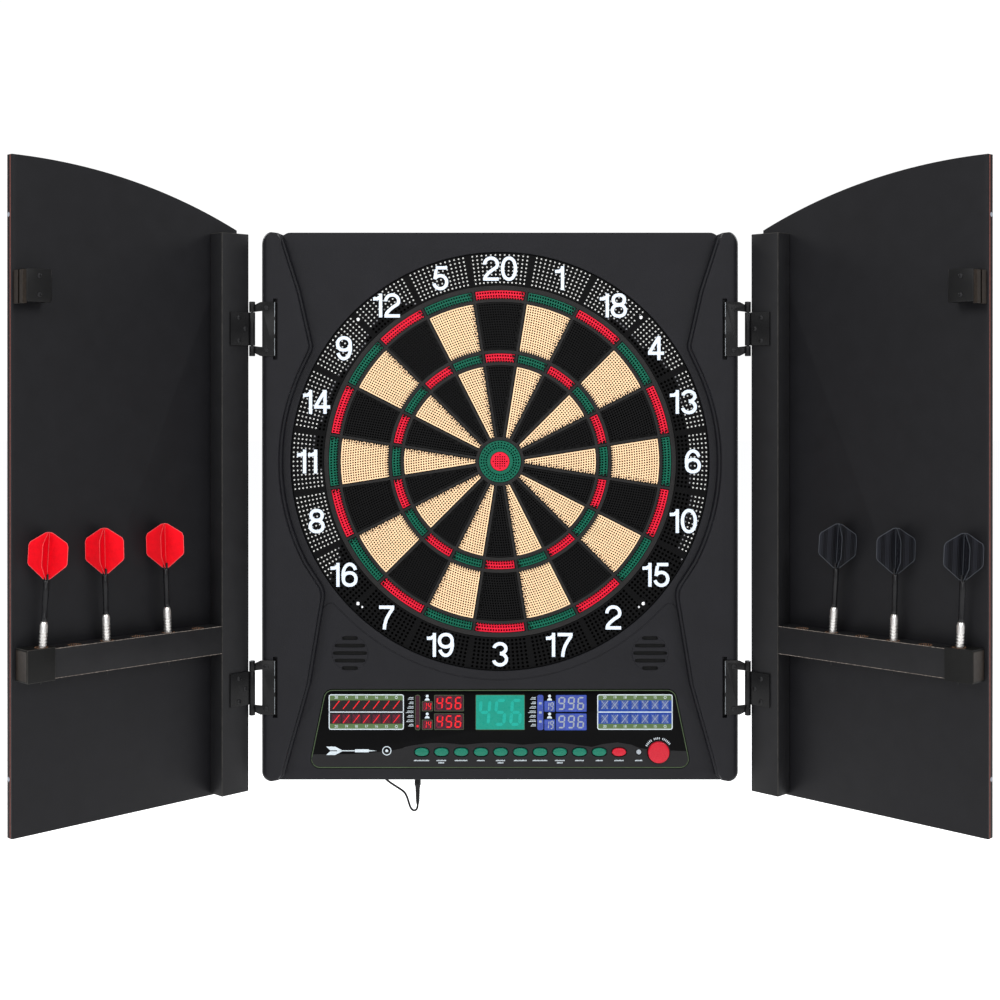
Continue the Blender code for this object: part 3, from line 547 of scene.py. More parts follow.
def plate(name, outlines, front_y, back_y, edge=0.0, edge_steps=2):
    """A plate of (x, z) outlines, those inside the first being holes, with rounded edges front and back."""
    curve = bpy.data.curves.new(name, "CURVE")
    curve.dimensions = "2D"
    curve.fill_mode = "BOTH"
    curve.extrude = (back_y - front_y) / 2 - edge
    curve.bevel_depth = edge
    curve.bevel_resolution = edge_steps
    curve.offset = -edge
    for outline in outlines:
        spline = curve.splines.new("POLY")
        spline.points.add(len(outline) - 1)
        for point, (x, z) in zip(spline.points, outline):
            point.co = (x, z, 0.0, 1.0)
        spline.use_cyclic_u = True
    obj = new_object(name, curve)
    obj.location = (0.0, (front_y + back_y) / 2, 0.0)
    obj.rotation_euler = (math.pi / 2, 0.0, 0.0)
    return applied(obj)


def offset(outline, insets):
    """Each point of a closed outline moved inwards by its own inset, along the mean of its two sides' normals."""
    area = sum(a[0] * b[1] - b[0] * a[1] for a, b in zip(outline, outline[1:] + outline[:1]))
    turn = 1.0 if area > 0 else -1.0
    moved = []
    count = len(outline)
    for i, here in enumerate(outline):
        back = Vector(here) - Vector(outline[i - 1])
        ahead = Vector(outline[(i + 1) % count]) - Vector(here)
        normals = [turn * Vector((-d.y, d.x)).normalized() for d in (back, ahead)]
        middle = (normals[0] + normals[1]).normalized()
        reach = insets[i] / max(0.5, middle.dot(normals[0]))
        moved.append(tuple(Vector(here) + middle * reach))
    return moved


def inset_by(outline, amount):
    """A closed outline moved inwards by one amount all round."""
    return offset(outline, [amount] * len(outline))


def at_y(outline, y):
    return [(x, y, z) for x, z in outline]


def domed(shape, outline, levels):
    """A raised form over an outline: levels are (y, inset), back to front."""
    rings = [at_y(inset_by(outline, inset), y) for y, inset in levels]
    shape.loft(rings, 0, True, True)


def tube(shape, points, radius, sides):
    """A round tube along points, its frame carried along without twist."""
    points = [Vector(p) for p in points]
    ahead = (points[1] - points[0]).normalized()
    side = ahead.orthogonal().normalized()
    rings = []
    for i, point in enumerate(points):
        after = points[min(i + 1, len(points) - 1)]
        before = points[max(i - 1, 0)]
        heading = (after - before).normalized()
        side = (side - heading * side.dot(heading)).normalized()
        other = heading.cross(side)
        ring = []
        for k in range(sides):
            angle = 2 * math.pi * k / sides
            ring.append(point + (side * math.cos(angle) + other * math.sin(angle)) * radius)
        rings.append(ring)
    shape.loft(rings, 0, True, True)


def polar(radius, turn_deg):
    """(x, z) at a radius and an angle clockwise from the top."""
    angle = math.radians(turn_deg)
    return (radius * math.sin(angle), radius * math.cos(angle))


def spin(turn_deg):
    """A turn clockwise, seen from the front."""
    return Matrix.Rotation(math.radians(turn_deg), 4, "Y")


def refined(
    node, name, materials, edge, steps, edge_kind=-1, body="housing", slot="housing_black", cutter=None
):
    """A copy of a CAD node with its edges broken, which stands for the node."""
    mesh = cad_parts[node].data.copy()
    edit = bmesh.new()
    edit.from_mesh(mesh)
    bmesh.ops.remove_doubles(edit, verts=edit.verts, dist=WELD)
    bmesh.ops.dissolve_limit(edit, angle_limit=math.radians(0.5), verts=edit.verts, edges=edit.edges)
    edit.to_mesh(mesh)
    edit.free()
    made = paint(new_object(name, mesh), *materials)
    for polygon in mesh.polygons:
        polygon.material_index = 0
    modifier = made.modifiers.new("edges", "BEVEL")
    modifier.width = edge
    modifier.segments = steps
    modifier.limit_method = "ANGLE"
    modifier.angle_limit = math.radians(28)
    modifier.material = edge_kind
    made = applied(made)
    if cutter:
        made = cut(made, cutter)
    return settle(smooth(made, 40), body, slot, node)


# ---------------------------------------------------------------- camera, light, stage


def camera():
    lens = bpy.data.cameras.new("camera")
    lens.lens = 56.2
    lens.sensor_width = 36.0
    lens.shift_y = -0.1195
    made = new_object("camera", lens)
    made.location = (0.0, -1.620, 0.0816)
    made.rotation_euler = (math.radians(90), 0.0, 0.0)
    bpy.context.scene.camera = made


def area_light(name, place, aim, size, power):
    lamp = bpy.data.lights.new(name, "AREA")
    lamp.shape = "RECTANGLE"
    lamp.size, lamp.size_y = size
    lamp.energy = power
    made = new_object(name, lamp)
    made.location = place
    made.rotation_euler = (Vector(aim) - Vector(place)).to_track_quat("-Z", "Y").to_euler()


def studio():
    area_light("key_left", (-1.7, -2.1, 1.5), (0, 0, 0), (1.2, 1.2), 34)
    area_light("key_right", (1.7, -2.1, 1.5), (0, 0, 0), (1.2, 1.2), 30)
    area_light("front_low", (0.0, -2.8, 0.5), (0, 0, -0.05), (1.6, 0.9), 14)
    area_light("top", (0.0, -0.5, 1.9), (0, -0.1, 0), (1.8, 0.8), 12)
    area_light("back_left", (-1.6, 1.8, 1.2), (0, 0, 0), (1.2, 1.2), 30)
    area_light("back_right", (1.6, 1.8, 1.2), (0, 0, 0), (1.2, 1.2), 30)
    world = bpy.data.worlds.new("studio")
    world.use_nodes = True
    tree = world.node_tree
    seen = tree.nodes["Background"]
    seen.inputs["Color"].default_value = (1.0, 1.0, 1.0, 1.0)
    seen.inputs["Strength"].default_value = 1.05
    fill = tree.nodes.new("ShaderNodeBackground")
    fill.inputs["Color"].default_value = (0.97, 0.98, 1.0, 1.0)
    fill.inputs["Strength"].default_value = 0.42
    mix = tree.nodes.new("ShaderNodeMixShader")
    rays = tree.nodes.new("ShaderNodeLightPath")
    link(tree, rays.outputs["Is Camera Ray"], mix.inputs["Fac"])
    link(tree, fill.outputs["Background"], mix.inputs[1])
    link(tree, seen.outputs["Background"], mix.inputs[2])
    link(tree, mix.outputs["Shader"], tree.nodes["World Output"].inputs["Surface"])
    bpy.context.scene.world = world
    bpy.context.scene.view_settings.view_transform = "Standard"


def floor():
    made, _, shader = shader_of("floor_pale")
    shader.inputs["Base Color"].default_value = (0.9, 0.9, 0.9, 1.0)
    shader.inputs["Roughness"].default_value = 0.9
    shader.inputs["Specular IOR Level"].default_value = 0.0
    shader.inputs["Emission Color"].default_value = (1.0, 1.0, 1.0, 1.0)
    shader.inputs["Emission Strength"].default_value = 0.62
    bpy.ops.mesh.primitive_plane_add(size=40.0, location=(0.0, 0.0, -0.75))
    ground = bpy.context.object
    ground.name = "floor"
    ground.data.materials.append(made)


# ---------------------------------------------------------------- the low-voltage lead

LEAD_D = 2.2 * MM
LEAD_LENGTH = 1.5
COIL_CENTRE = Vector((-140.0, -20.0, -295.4)) * MM
COIL_TURNS = 17.3
COIL_LAYERS = 5
COIL_START_DEG = -12.0
LEAD_ROUTE_MM = (
    (-84.1, -25.0, -350.0),
    (-84.2, -24.9, -353.0),
    (-85.2, -24.3, -356.5),
    (-88.2, -22.8, -358.2),
    (-91.2, -21.3, -356.2),
    (-93.2, -20.2, -351.6),
    (-95.4, -18.8, -345.4),
    (-98.3, -17.2, -341.0),
    (-103.3, -14.9, -337.9),
    (-110.0, -11.6, -334.6),
    (-116.0, -8.6, -331.2),
    (-120.8, -6.4, -326.8),
    (-123.2, -6.2, -320.5),
    (-123.6, -8.2, -314.2),
    (-124.0, -13.2, -309.8),
    (-124.5, -18.3, -308.0),
    (-124.2, -22.2, -305.0),
)
LEAD_END_MM = (
    (-144.6, -13.9, -285.9),
    (-148.6, -13.3, -285.5),
    (-153.0, -13.3, -285.4),
    (-158.6, -13.4, -285.3),
)


def smooth_route(points, steps):
    """Points along a Catmull-Rom curve through the given ones."""
    ends = [2 * points[0] - points[1], *points, 2 * points[-1] - points[-2]]
    route = []
    for a, b, c, d in zip(ends, ends[1:], ends[2:], ends[3:]):
        for i in range(steps):
            t = i / steps
            bend = (2 * a - 5 * b + 4 * c - d) * t**2
            route.append(0.5 * (2 * b + (c - a) * t + bend + (3 * b - a - 3 * c + d) * t**3))
    return [*route, points[-1]]


def coil_points(mean_radius):
    """Flat spirals in layers a diameter apart, wound inwards and outwards in turn."""
    spiral = COIL_TURNS / COIL_LAYERS
    outer = mean_radius + spiral * LEAD_D / 2
    points = []
    steps = int(COIL_TURNS * 24)
    hop = 0.12
    for i in range(steps + 1):
        along = COIL_TURNS * i / steps
        layer = min(COIL_LAYERS - 1, int(along / spiral))
        part = along / spiral - layer
        radius = outer - (part if layer % 2 == 0 else 1 - part) * spiral * LEAD_D
        rise = layer
        if part < hop and layer > 0:
            rise -= 0.5 * (1 - part / hop) ** 2
        if part > 1 - hop and layer < COIL_LAYERS - 1:
            rise += 0.5 * (1 - (1 - part) / hop) ** 2
        angle = math.radians(COIL_START_DEG) + 2 * math.pi * along
        y = (rise - (COIL_LAYERS - 1) / 2) * LEAD_D
        points.append(COIL_CENTRE + Vector((radius * math.cos(angle), y, radius * math.sin(angle))))
    return points


def lead_points(mean_radius):
    route = [Vector(p) * MM for p in LEAD_ROUTE_MM]
    end = [Vector(p) * MM for p in LEAD_END_MM]
    coil = coil_points(mean_radius)
    lead_in = smooth_route([*route, coil[0], coil[2]], 4)[:-4]
    lead_out = smooth_route([coil[-3], coil[-1], *end], 6)[6:]
    return [*lead_in, *coil, *lead_out[1:]]


def path_length(points):
    return sum((b - a).length for a, b in zip(points, points[1:]))


def power_lead():
    low, high = 8 * MM, 20 * MM
    for _ in range(30):
        mean_radius = (low + high) / 2
        if path_length(lead_points(mean_radius)) < LEAD_LENGTH:
            low = mean_radius
        else:
            high = mean_radius
    points = lead_points(mean_radius)
    shape = Shape()
    tube(shape, points, LEAD_D / 2, 10)
    lead = shape.object("power_lead_flex", ["lead"], 60, weld=False)
    settle(lead, "housing", "lead_black", "power_lead", "power_lead_coil")
    return lead, points


def dc_plug():
    """The plug in its jack: pin, ribbed collar and a tapered strain relief with rings cut round it."""
    shape = Shape()
    collar = 3.3 * MM
    profile = [
        (2.35 * MM, 10.9 * MM), (2.35 * MM, -0.3 * MM), (collar - 0.4 * MM, -0.3 * MM), (collar, -0.8 * MM)
    ]
    for k in range(6):
        z = -1.6 * MM - k * 1.35 * MM
        profile += [(collar, z), (collar - 0.28 * MM, z - 0.2 * MM), (collar - 0.28 * MM, z - 0.6 * MM)]
        profile.append((collar, z - 0.8 * MM))
    profile += [
        (collar, -10.6 * MM), (collar - 0.4 * MM, -11.3 * MM), (2.6 * MM, -12.6 * MM),
        (2.4 * MM, -13.6 * MM),
    ]
    for k in range(5):
        z = -15.2 * MM - k * 2.6 * MM
        radius = 2.35 * MM - k * 0.09 * MM
        profile += [(radius, z), (radius - 0.25 * MM, z - 0.15 * MM), (radius - 0.25 * MM, z - 0.75 * MM)]
        profile.append((radius, z - 0.9 * MM))
    profile += mm([(1.75, -28.2), (1.3, -30.5)])
    shape.turn(profile, 28, 0, (-84.1 * MM, -25.0 * MM, BOTTOM))
    return settle(shape.object("dc_plug_body", ["lead"], 35), "housing", "lead_black", "dc_plug")


def wall_adapter():
    """A plug-top power supply: two shells with a seam, a raised panel and two flat prongs."""
    low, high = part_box("wall_adapter")
    top = low.z + 60.0 * MM
    middle = Vector(((low.x + high.x) / 2, (low.y + high.y) / 2, 0.0))
    shape = Shape()
    front = rectangle(low.x, low.z, high.x, top, 4.0 * MM)
    seam_y = middle.y
    levels = [
        (seam_y - 0.25 * MM, 0.5 * MM),
        (seam_y - 0.3 * MM, 0.0),
        (low.y + 3.0 * MM, 0.4 * MM),
        (low.y + 1.0 * MM, 1.3 * MM),
        (low.y, 3.0 * MM),
    ]
    domed(shape, front, levels)
    mirrored = [(2 * seam_y - y, inset) for y, inset in levels]
    domed(shape, front, mirrored)
    shape.loft([at_y(inset_by(front, 0.5 * MM), seam_y + y * MM) for y in (-0.3, 0.3)])
    panel = rectangle(low.x + 7 * MM, low.z + 14 * MM, high.x - 7 * MM, top - 9 * MM, 2 * MM)
    domed(
        shape, panel,
        [(high.y - 0.1 * MM, 0.0), (high.y + 0.35 * MM, 0.15 * MM), (high.y + 0.4 * MM, 0.4 * MM)],
    )
    case = settle(shape.object("adapter_case", ["adapter"], 35), "housing", "adapter_black", "wall_adapter")
    prongs = Shape()
    for offset_x in (-6.4 * MM, 6.4 * MM):
        x = middle.x + offset_x
        blade = [(x - 0.75 * MM, top - 1 * MM), (x + 0.75 * MM, top - 1 * MM)]
        blade += [(x + 0.75 * MM, high.z - 1.2 * MM), (x + 0.3 * MM, high.z - 0.1 * MM)]
        blade += [(x - 0.3 * MM, high.z - 0.1 * MM), (x - 0.75 * MM, high.z - 1.2 * MM)]
        prongs.loft([at_y(blade, middle.y + y * MM) for y in (-3.2, 3.2)], 0, True, True)
    pins = settle(prongs.object("adapter_prongs", ["brass"]), "housing", "prong_brass")
    grip = Shape()
    profile = mm([(2.6, 0.0), (2.5, 1.6), (1.9, 2.2), (1.9, 2.6)])
    profile += mm([(2.2, 2.7), (2.1, 3.6), (1.6, 3.9), (1.5, 5.2)])
    end = Vector(LEAD_END_MM[-1]) * MM
    grip.turn(profile, 20, 0, (high.x - 0.4 * MM, end.y, end.z), Matrix.Rotation(math.radians(90), 4, "Y"))
    grommet = settle(grip.object("adapter_strain_relief", ["lead"], 35), "housing", "lead_black")
    return [case, pins, grommet]


def coil_tie():
    """A soft strap round the coil's section, at its top."""
    shape = Shape()
    reach = 13.0 * MM
    around = ellipse(13.2 * MM, 14.6 * MM, (0, 0), 28, 2.6)
    centre = COIL_CENTRE + Vector((0, 0, reach))
    rings = []
    for x, grow in ((-2.6, 0.0), (-2.6, 0.55), (2.6, 0.55), (2.6, 0.0)):
        ring = inset_by(around, -grow * MM)
        rings.append([centre + Vector((x * MM, across, up)) for across, up in ring])
    rings.append(rings[0])
    shape.loft(rings)
    return settle(shape.object("coil_tie", ["stem"], 35), "housing", "lead_black")


def supply():
    lead, points = power_lead()
    pieces = [dc_plug(), *wall_adapter(), coil_tie()]


# ---------------------------------------------------------------- housing


def rail_inner():
    """The inner side of the right rail, top to bottom: shoulder, hollow round the target, hip, waist."""
    start = math.degrees(math.atan2(108.0, 189.2))
    hollow = arc(RAIL_ARC_R, start, -30.5, 40)
    top = (217.2 * MM, 225.6 * MM)
    shoulder = (187.0 * MM, 114.5 * MM)
    hip = (174.6 * MM, -129.5 * MM)
    foot = (216.0 * MM, -315.0 * MM)
    line = [top, (199.9 * MM, 171.8 * MM)]
    line += soft_corner((199.9 * MM, 171.8 * MM), shoulder, hollow[2], 5 * MM)
    line += hollow[3:-2]
    line += soft_corner(hollow[-3], hip, (190.0 * MM, -223.6 * MM), 9 * MM)
    line += [(190.0 * MM, -223.6 * MM), (203.4 * MM, -270.9 * MM), foot]
    return line


def soft_corner(before, corner, after, reach, steps=6):
    """A corner cut off by a parabola that starts and ends reach away from it."""
    corner = Vector(corner)
    start = corner + (Vector(before) - corner).normalized() * reach
    end = corner + (Vector(after) - corner).normalized() * reach
    points = []
    for i in range(steps + 1):
        t = i / steps
        points.append(tuple(start * (1 - t) ** 2 + corner * 2 * t * (1 - t) + end * t**2))
    return points


def rail_outer():
    """The outer side of the right rail, bottom to top, with its bullet-shaped ends."""
    line = [(222.0 * MM, BOTTOM + 1.2 * MM)]
    line += arc(10.0 * MM, -90, 0, RAIL_END_STEPS, (HALF_W - 10.0 * MM, BOTTOM + 10.0 * MM))
    for i in range(RAIL_END_STEPS + 1):
        angle = math.radians(90 * i / RAIL_END_STEPS)
        line.append((HALF_W - 9.5 * MM * (1 - math.cos(angle)), TOP - 13.0 * MM * (1 - math.sin(angle))))
    line.append((222.6 * MM, TOP - 0.9 * MM))
    return line


def rail_outer_weights():
    """How much of the outer side's rounding each of those points takes: all along the side, less at the ends."""
    fewest = 0.36
    rise = [fewest + (1 - fewest) * i / RAIL_END_STEPS for i in range(RAIL_END_STEPS + 1)]
    return [fewest, *rise, *reversed(rise), fewest]


RAIL_END_STEPS = 10
RAIL_LEVELS = (
    # (y in mm, inset of the inner side, inset of the outer side)
    (-47.0, 0.0, 0.0),
    (-52.0, 0.7, 0.0),
    (-53.8, 0.9, 0.2),
    (-54.5, 1.2, 0.4),
    (-54.8, 1.7, 0.5),
    (-54.9, 2.5, 0.6),
    (-55.3, 3.0, 0.8),
    (-57.2, 3.2, 1.9),
    (-58.7, 3.4, 3.6),
    (-59.5, 3.8, 5.2),
    (-59.87, 4.4, 6.6),
    (-60.0, 5.2, 8.4),
)


def rail(side):
    inner, outer = rail_inner(), rail_outer()
    outline = inner + outer
    shape = Shape()
    rings = []
    for y, inner_inset, outer_inset in RAIL_LEVELS:
        insets = [inner_inset * MM] * len(inner)
        insets += [outer_inset * MM * weight for weight in rail_outer_weights()]
        ring = offset(outline, insets)
        rings.append([(side * x, y * MM, z) for x, z in ring])
    shape.loft(rings, 0, True, True)
    name = "left_rail" if side < 0 else "right_rail"
    made = shape.object(name, ["housing"])
    slots = Shape()
    for z in HINGE_ZS.values():
        edges = sorted((side * 222.3 * MM, side * 226.8 * MM))
        slots.block((edges[0], RAIL_Y - 1 * MM, z - 30.5 * MM), (edges[1], RAIL_Y + 7 * MM, z + 30.5 * MM))
    made = cut(made, slots.object("slots", ["housing"]))
    return settle(smooth(paint(made, "housing"), 32), "housing", "housing_black")


def shell_outline():
    """The housing's outer outline: bullet corners, a notch beside each rail and a straight top."""
    right = rail_outer()
    notch = [
        (218.2 * MM, TOP - 2.6 * MM), (215.6 * MM, TOP - 1.0 * MM), (213.4 * MM, TOP - 0.2 * MM),
        (211.0 * MM, TOP),
    ]
    half = right[1:] + notch
    return half + [(-x, z) for x, z in reversed(half)]


def groove_path():
    """The shallow line under the target: an arc with a rounded corner into each rail."""
    half = arc(GROOVE_R, 270, 316.5, 40)
    corner = [
        (165.7, -145.0), (168.0, -143.2), (171.0, -142.5), (174.5, -143.4), (178.0, -147.0), (182.5, -154.5)
    ]
    half += [(x * MM, z * MM) for x, z in corner]
    left = [(-x, z) for x, z in reversed(half[1:])]
    return at_y(left + half, FACE_Y - 0.25 * MM)


def lens_outline(grow=0.0):
    corners = [
        (-176.0 * MM - grow, -229.8 * MM + grow),
        (176.0 * MM + grow, -229.8 * MM + grow),
        (192.3 * MM + grow, -308.6 * MM - grow),
        (-192.3 * MM - grow, -308.6 * MM - grow),
    ]
    return rounded(corners, 9 * MM + grow)


def louvres(side):
    """The speaker's grille disc with its five slots, a little below the face."""
    x, z = side * SPEAKER[0], SPEAKER[1]
    slots = []
    for k in range(5):
        up = 7.55 * MM * (k - 2)
        half = math.sqrt((GRILLE_R - 0.9 * MM) ** 2 - up**2)
        slots.append(ellipse(2 * half, 3.8 * MM, (x, z + up), 32, 5.0))
    name = "left_speaker_grille" if side < 0 else "right_speaker_grille"
    rim = circle(GRILLE_R + 0.6 * MM, 72, (x, z))
    disc = plate(name, [rim, *slots], FACE_Y + 0.45 * MM, FACE_Y + 2.6 * MM, 0.3 * MM)
    finish(disc, "housing", "housing", "housing_black")


def housing():
    outline = shell_outline()
    holes = [circle(OPENING_R, 180), lens_outline(0.4 * MM)]
    holes += [circle(GRILLE_R, 72, (side * SPEAKER[0], SPEAKER[1])) for side in (-1, 1)]
    face = plate("housing_face", [outline, *holes], FACE_Y, FACE_Y + WALL, 0.9 * MM, 3)
    groove = Shape()
    tube(groove, groove_path(), 0.75 * MM, 10)
    face = cut(face, groove.object("groove", ["housing"]))
    finish(face, "housing", "housing", "housing_black", "front_housing")
    inner = rectangle(-HALF_W + WALL, BOTTOM + WALL, HALF_W - WALL, TOP - WALL, 9.0 * MM)
    walls = plate("housing_walls", [outline, inner], FACE_Y + 1.0 * MM, SEAM_Y, 0.0)
    jack_hole = Shape()
    jack_hole.turn(mm([(4.0, -5), (4.0, 5)]), 32, 0, (-84.1 * MM, -25.0 * MM, BOTTOM))
    walls = cut(walls, jack_hole.object("jack_hole", ["housing"]))
    finish(walls, "housing", "housing", "housing_black")
    for side in (-1, 1):
        rail(side)
        louvres(side)
    rear_cover()


def rear_cover():
    """The rear cover with eight screws sunk in counterbores near its rim."""
    spots = [(side * 226.0 * MM, z * MM) for side in (-1, 1) for z in (208.0, 38.0, -132.0, -296.0)]
    flip = Matrix.Rotation(math.pi, 4, "Z")
    bores = Shape()
    for x, z in spots:
        bores.loft([at_y(circle(4.2 * MM, 32, (x, z)), y) for y in (-2.2 * MM, 2.0 * MM)], 0, True, True)
    cutter = bores.object("bores", ["housing"])
    made = refined("rear_cover", "rear_cover_shell", ["housing"], 0.8 * MM, 3, cutter=cutter)
    for polygon in made.data.polygons:
        polygon.use_smooth = polygon.area < 900 * MM**2
    for number, (x, z) in enumerate(spots, 1):
        screw(
            f"case_screw_{number}", 3.4 * MM, (-x, 2.15 * MM, z), "screw_black", "housing", "screw_black",
            flip,
        )


# ---------------------------------------------------------------- target


def bed_place(radius, across):
    """(x, z) of the point at a radius, this far to the right of the ridge line left of the top bed."""
    turn = -180.0 / BEDS + math.degrees(math.asin(min(1.0, across / radius)))
    return polar(radius, turn)


def right_room(radius, across):
    """How far that point is from the ridge line on the bed's right."""
    turn = math.radians(360.0 / BEDS) - math.asin(min(1.0, across / radius))
    return radius * math.sin(turn)


def cell(shape, corners, hole, depth, bottom_kind, front_y, sides=4):
    """A tile with a tapered hole, four- or eight-sided: its rim, the funnel and the bottom."""
    centre = Vector((sum(x for x, _ in corners) / 4, sum(z for _, z in corners) / 4))
    ring = []
    for i in range(sides):
        t = 4.0 * i / sides + (0.5 if sides == 8 else 0.0)
        a = Vector(corners[int(t) % 4])
        b = Vector(corners[(int(t) + 1) % 4])
        edge_point = a.lerp(b, t - int(t))
        reach = (edge_point - centre).length
        full = hole / reach / (2.0 if sides == 8 else 1.41)
        ring.append(centre + (edge_point - centre) * min(0.86, full))
    deep = [centre + (p - centre) * 0.8 for p in ring]
    points = at_y([tuple(c) for c in corners], front_y)
    points += at_y([tuple(p) for p in ring], front_y)
    points += at_y([tuple(p) for p in deep], front_y + depth)
    faces = []
    for i in range(4):
        if sides == 4:
            faces.append((i, (i + 1) % 4, 4 + (i + 1) % 4, 4 + i))
        else:
            near = 4 + 2 * i
            faces += [(i, near, 4 + (2 * i - 1) % 8), (i, (i + 1) % 4, near + 1, near)]
    shape.add(points, faces)
    funnel = [(4 + i, 4 + (i + 1) % sides, 4 + sides + (i + 1) % sides, 4 + sides + i) for i in range(sides)]
    shape.add(points, funnel)
    # The floor takes bottom_kind: painted shade for the depth of the hole, and painted light in the catch ring's
    # upper holes
    shape.add(points, [tuple(range(4 + sides, 4 + 2 * sides))], bottom_kind)


def tooth(shape, ends, half):
    """A short bar that runs on from the lattice to the bed's edge."""
    a, b = Vector(ends[0]), Vector(ends[1])
    if (b - a).length < 0.15 * MM:
        return
    along = (b - a).normalized()
    across = Vector((-along.y, along.x)) * half
    quad = [a - across, a + across, b + across, b - across]
    shape.loft([at_y([tuple(p) for p in quad], y) for y in (BED_Y, WEB_Y)], 0, True, False)


def bed(radii, pitch, hole, border):
    """One bed at the top: a lattice of square holes, solid along its outer arc and left side,
    with the bars running on as teeth to the right side and the inner arc."""
    inner, outer = radii
    pitch_r, pitch_d = pitch
    rows = [outer, outer - border]
    while rows[-1] - pitch_r >= inner + 0.1 * MM:
        rows.append(rows[-1] - pitch_r)
    side = RIDGE / 2 + BED_GAP
    columns = [side, side + border]
    while right_room(outer, columns[-1] + pitch_d) >= side:
        columns.append(columns[-1] + pitch_d)
    shape = Shape()
    filled = set()
    for i in range(len(rows) - 1):
        for j in range(len(columns) - 1):
            spots = [(rows[i], columns[j]), (rows[i], columns[j + 1])]
            spots += [(rows[i + 1], columns[j + 1]), (rows[i + 1], columns[j])]
            if min(right_room(*spot) for spot in spots) < side - 0.01 * MM:
                continue
            filled.add((i, j))
            corners = [bed_place(*spot) for spot in spots]
            if i == 0 or j == 0:
                shape.add(at_y(corners, BED_Y), [(0, 1, 2, 3)])
            else:
                cell(shape, corners, hole, HOLE_DEPTH, 1, BED_Y)
    for i, j in sorted(filled):
        sides = {(i - 1, j): (0, 1), (i, j + 1): (1, 2), (i + 1, j): (2, 3), (i, j - 1): (3, 0)}
        spots = [(rows[i], columns[j]), (rows[i], columns[j + 1])]
        spots += [(rows[i + 1], columns[j + 1]), (rows[i + 1], columns[j])]
        for other, (a, b) in sides.items():
            if other not in filled:
                pair = [bed_place(*spots[a]), bed_place(*spots[b])]
                wall = at_y(pair, BED_Y) + at_y(pair[::-1], WEB_Y)
                shape.add(wall, [(0, 1, 2, 3)])
    bar = (min(pitch_r, pitch_d) - hole) / 2
    for i in range(1, len(rows)):
        last = max((j for k, j in filled if k in (i - 1, i)), default=None)
        if last is None:
            continue
        start = columns[last + 1]
        end = start + max(0.0, right_room(rows[i], start) - side)
        end = min(end, start + pitch_d)
        ends = [bed_place(rows[i], start - 0.1 * MM), bed_place(rows[i], end)]
        tooth(shape, ends, bar)
    for j in range(1, len(columns)):
        deepest = max((i for i, k in filled if k in (j - 1, j)), default=None)
        if deepest is None:
            continue
        start = rows[deepest + 1]
        end = max(inner, start - pitch_r)
        while end < start and right_room(end, columns[j]) < side:
            end += 0.2 * MM
        ends = [bed_place(start + 0.1 * MM, columns[j]), bed_place(end, columns[j])]
        tooth(shape, ends, bar)
    return shape


BED_STYLES = {
    # ring: (pitch along the radius, pitch across), hole, border
    "doubles": ((3.25 * MM, 2.65 * MM), 1.85 * MM, 0.45 * MM),
    "outer_single": ((2.5 * MM, 2.5 * MM), 1.62 * MM, 0.8 * MM),
    "triples": ((3.2 * MM, 2.6 * MM), 1.85 * MM, 0.45 * MM),
    "inner_single": ((2.5 * MM, 2.5 * MM), 1.62 * MM, 0.8 * MM),
}
BED_COLOURS = {
    "doubles": ("red", "green"),
    "outer_single": ("black", "beige"),
    "triples": ("red", "green"),
    "inner_single": ("black", "beige"),
}


def beds():
    for ring, radii in RINGS.items():
        one = bed(radii, *BED_STYLES[ring])
        for which, colour in enumerate(BED_COLOURS[ring]):
            shape = Shape()
            for k in range(which, BEDS, 2):
                shape.merge(one, spin(360.0 / BEDS * k))
            made = shape.object(f"{ring}_beds_{colour}", ["bed_" + colour, "hole"])
            body = f"{ring}_segments"
            settle(made, body, "segment_" + colour, body)


def ring_lattice(shape, rings, columns, hole, depth, front_y):
    """Concentric rows of holes with the same number in each."""
    for outer, inner in zip(rings, rings[1:]):
        for k in range(columns):
            turns = [360.0 * k / columns, 360.0 * (k + 1) / columns]
            corners = [polar(outer, turns[0]), polar(outer, turns[1])]
            corners += [polar(inner, turns[1]), polar(inner, turns[0])]
            cell(shape, corners, hole, depth, 1, front_y)


def band(shape, *rings):
    """A ring-shaped band through circles of (radius, y)."""
    shape.loft([at_y(circle(radius, BULL_STEPS), y) for radius, y in rings])


def bulls():
    outer = Shape()
    rings = [20.2 * MM, 17.7 * MM, 15.2 * MM, 12.7 * MM]
    ring_lattice(outer, rings, 36, 1.5 * MM, HOLE_DEPTH, BED_Y)
    band(outer, (OUTER_BULL[1], BED_Y), (rings[0], BED_Y))
    band(outer, (rings[-1], BED_Y), (OUTER_BULL[0], BED_Y))
    for radius in reversed(OUTER_BULL):
        band(outer, (radius, BED_Y), (radius, WEB_Y))
    made = outer.object("outer_bull_cap", ["bed_green", "hole"])
    settle(made, "outer_bull_segment", "segment_green", "outer_bull_segment")
    inner = Shape()
    half = 1.15 * MM
    for i in range(-4, 5):
        for j in range(-4, 5):
            x, z = 2 * half * i, 2 * half * j
            corners = [(x - half, z + half), (x + half, z + half), (x + half, z - half), (x - half, z - half)]
            if max(math.hypot(*c) for c in corners) < 8.7 * MM:
                cell(inner, corners, 1.25 * MM, HOLE_DEPTH, 1, BED_Y)
    rim = plate("inner_bull_rim", [circle(INNER_BULL_R, 96), lattice_edge(4, half, 8.7 * MM)], BED_Y, WEB_Y)
    finish(rim, "bed_red", "inner_bull_segment", "segment_red")
    made = inner.object("inner_bull_cap", ["bed_red", "hole"])
    settle(made, "inner_bull_segment", "segment_red", "inner_bull_segment")


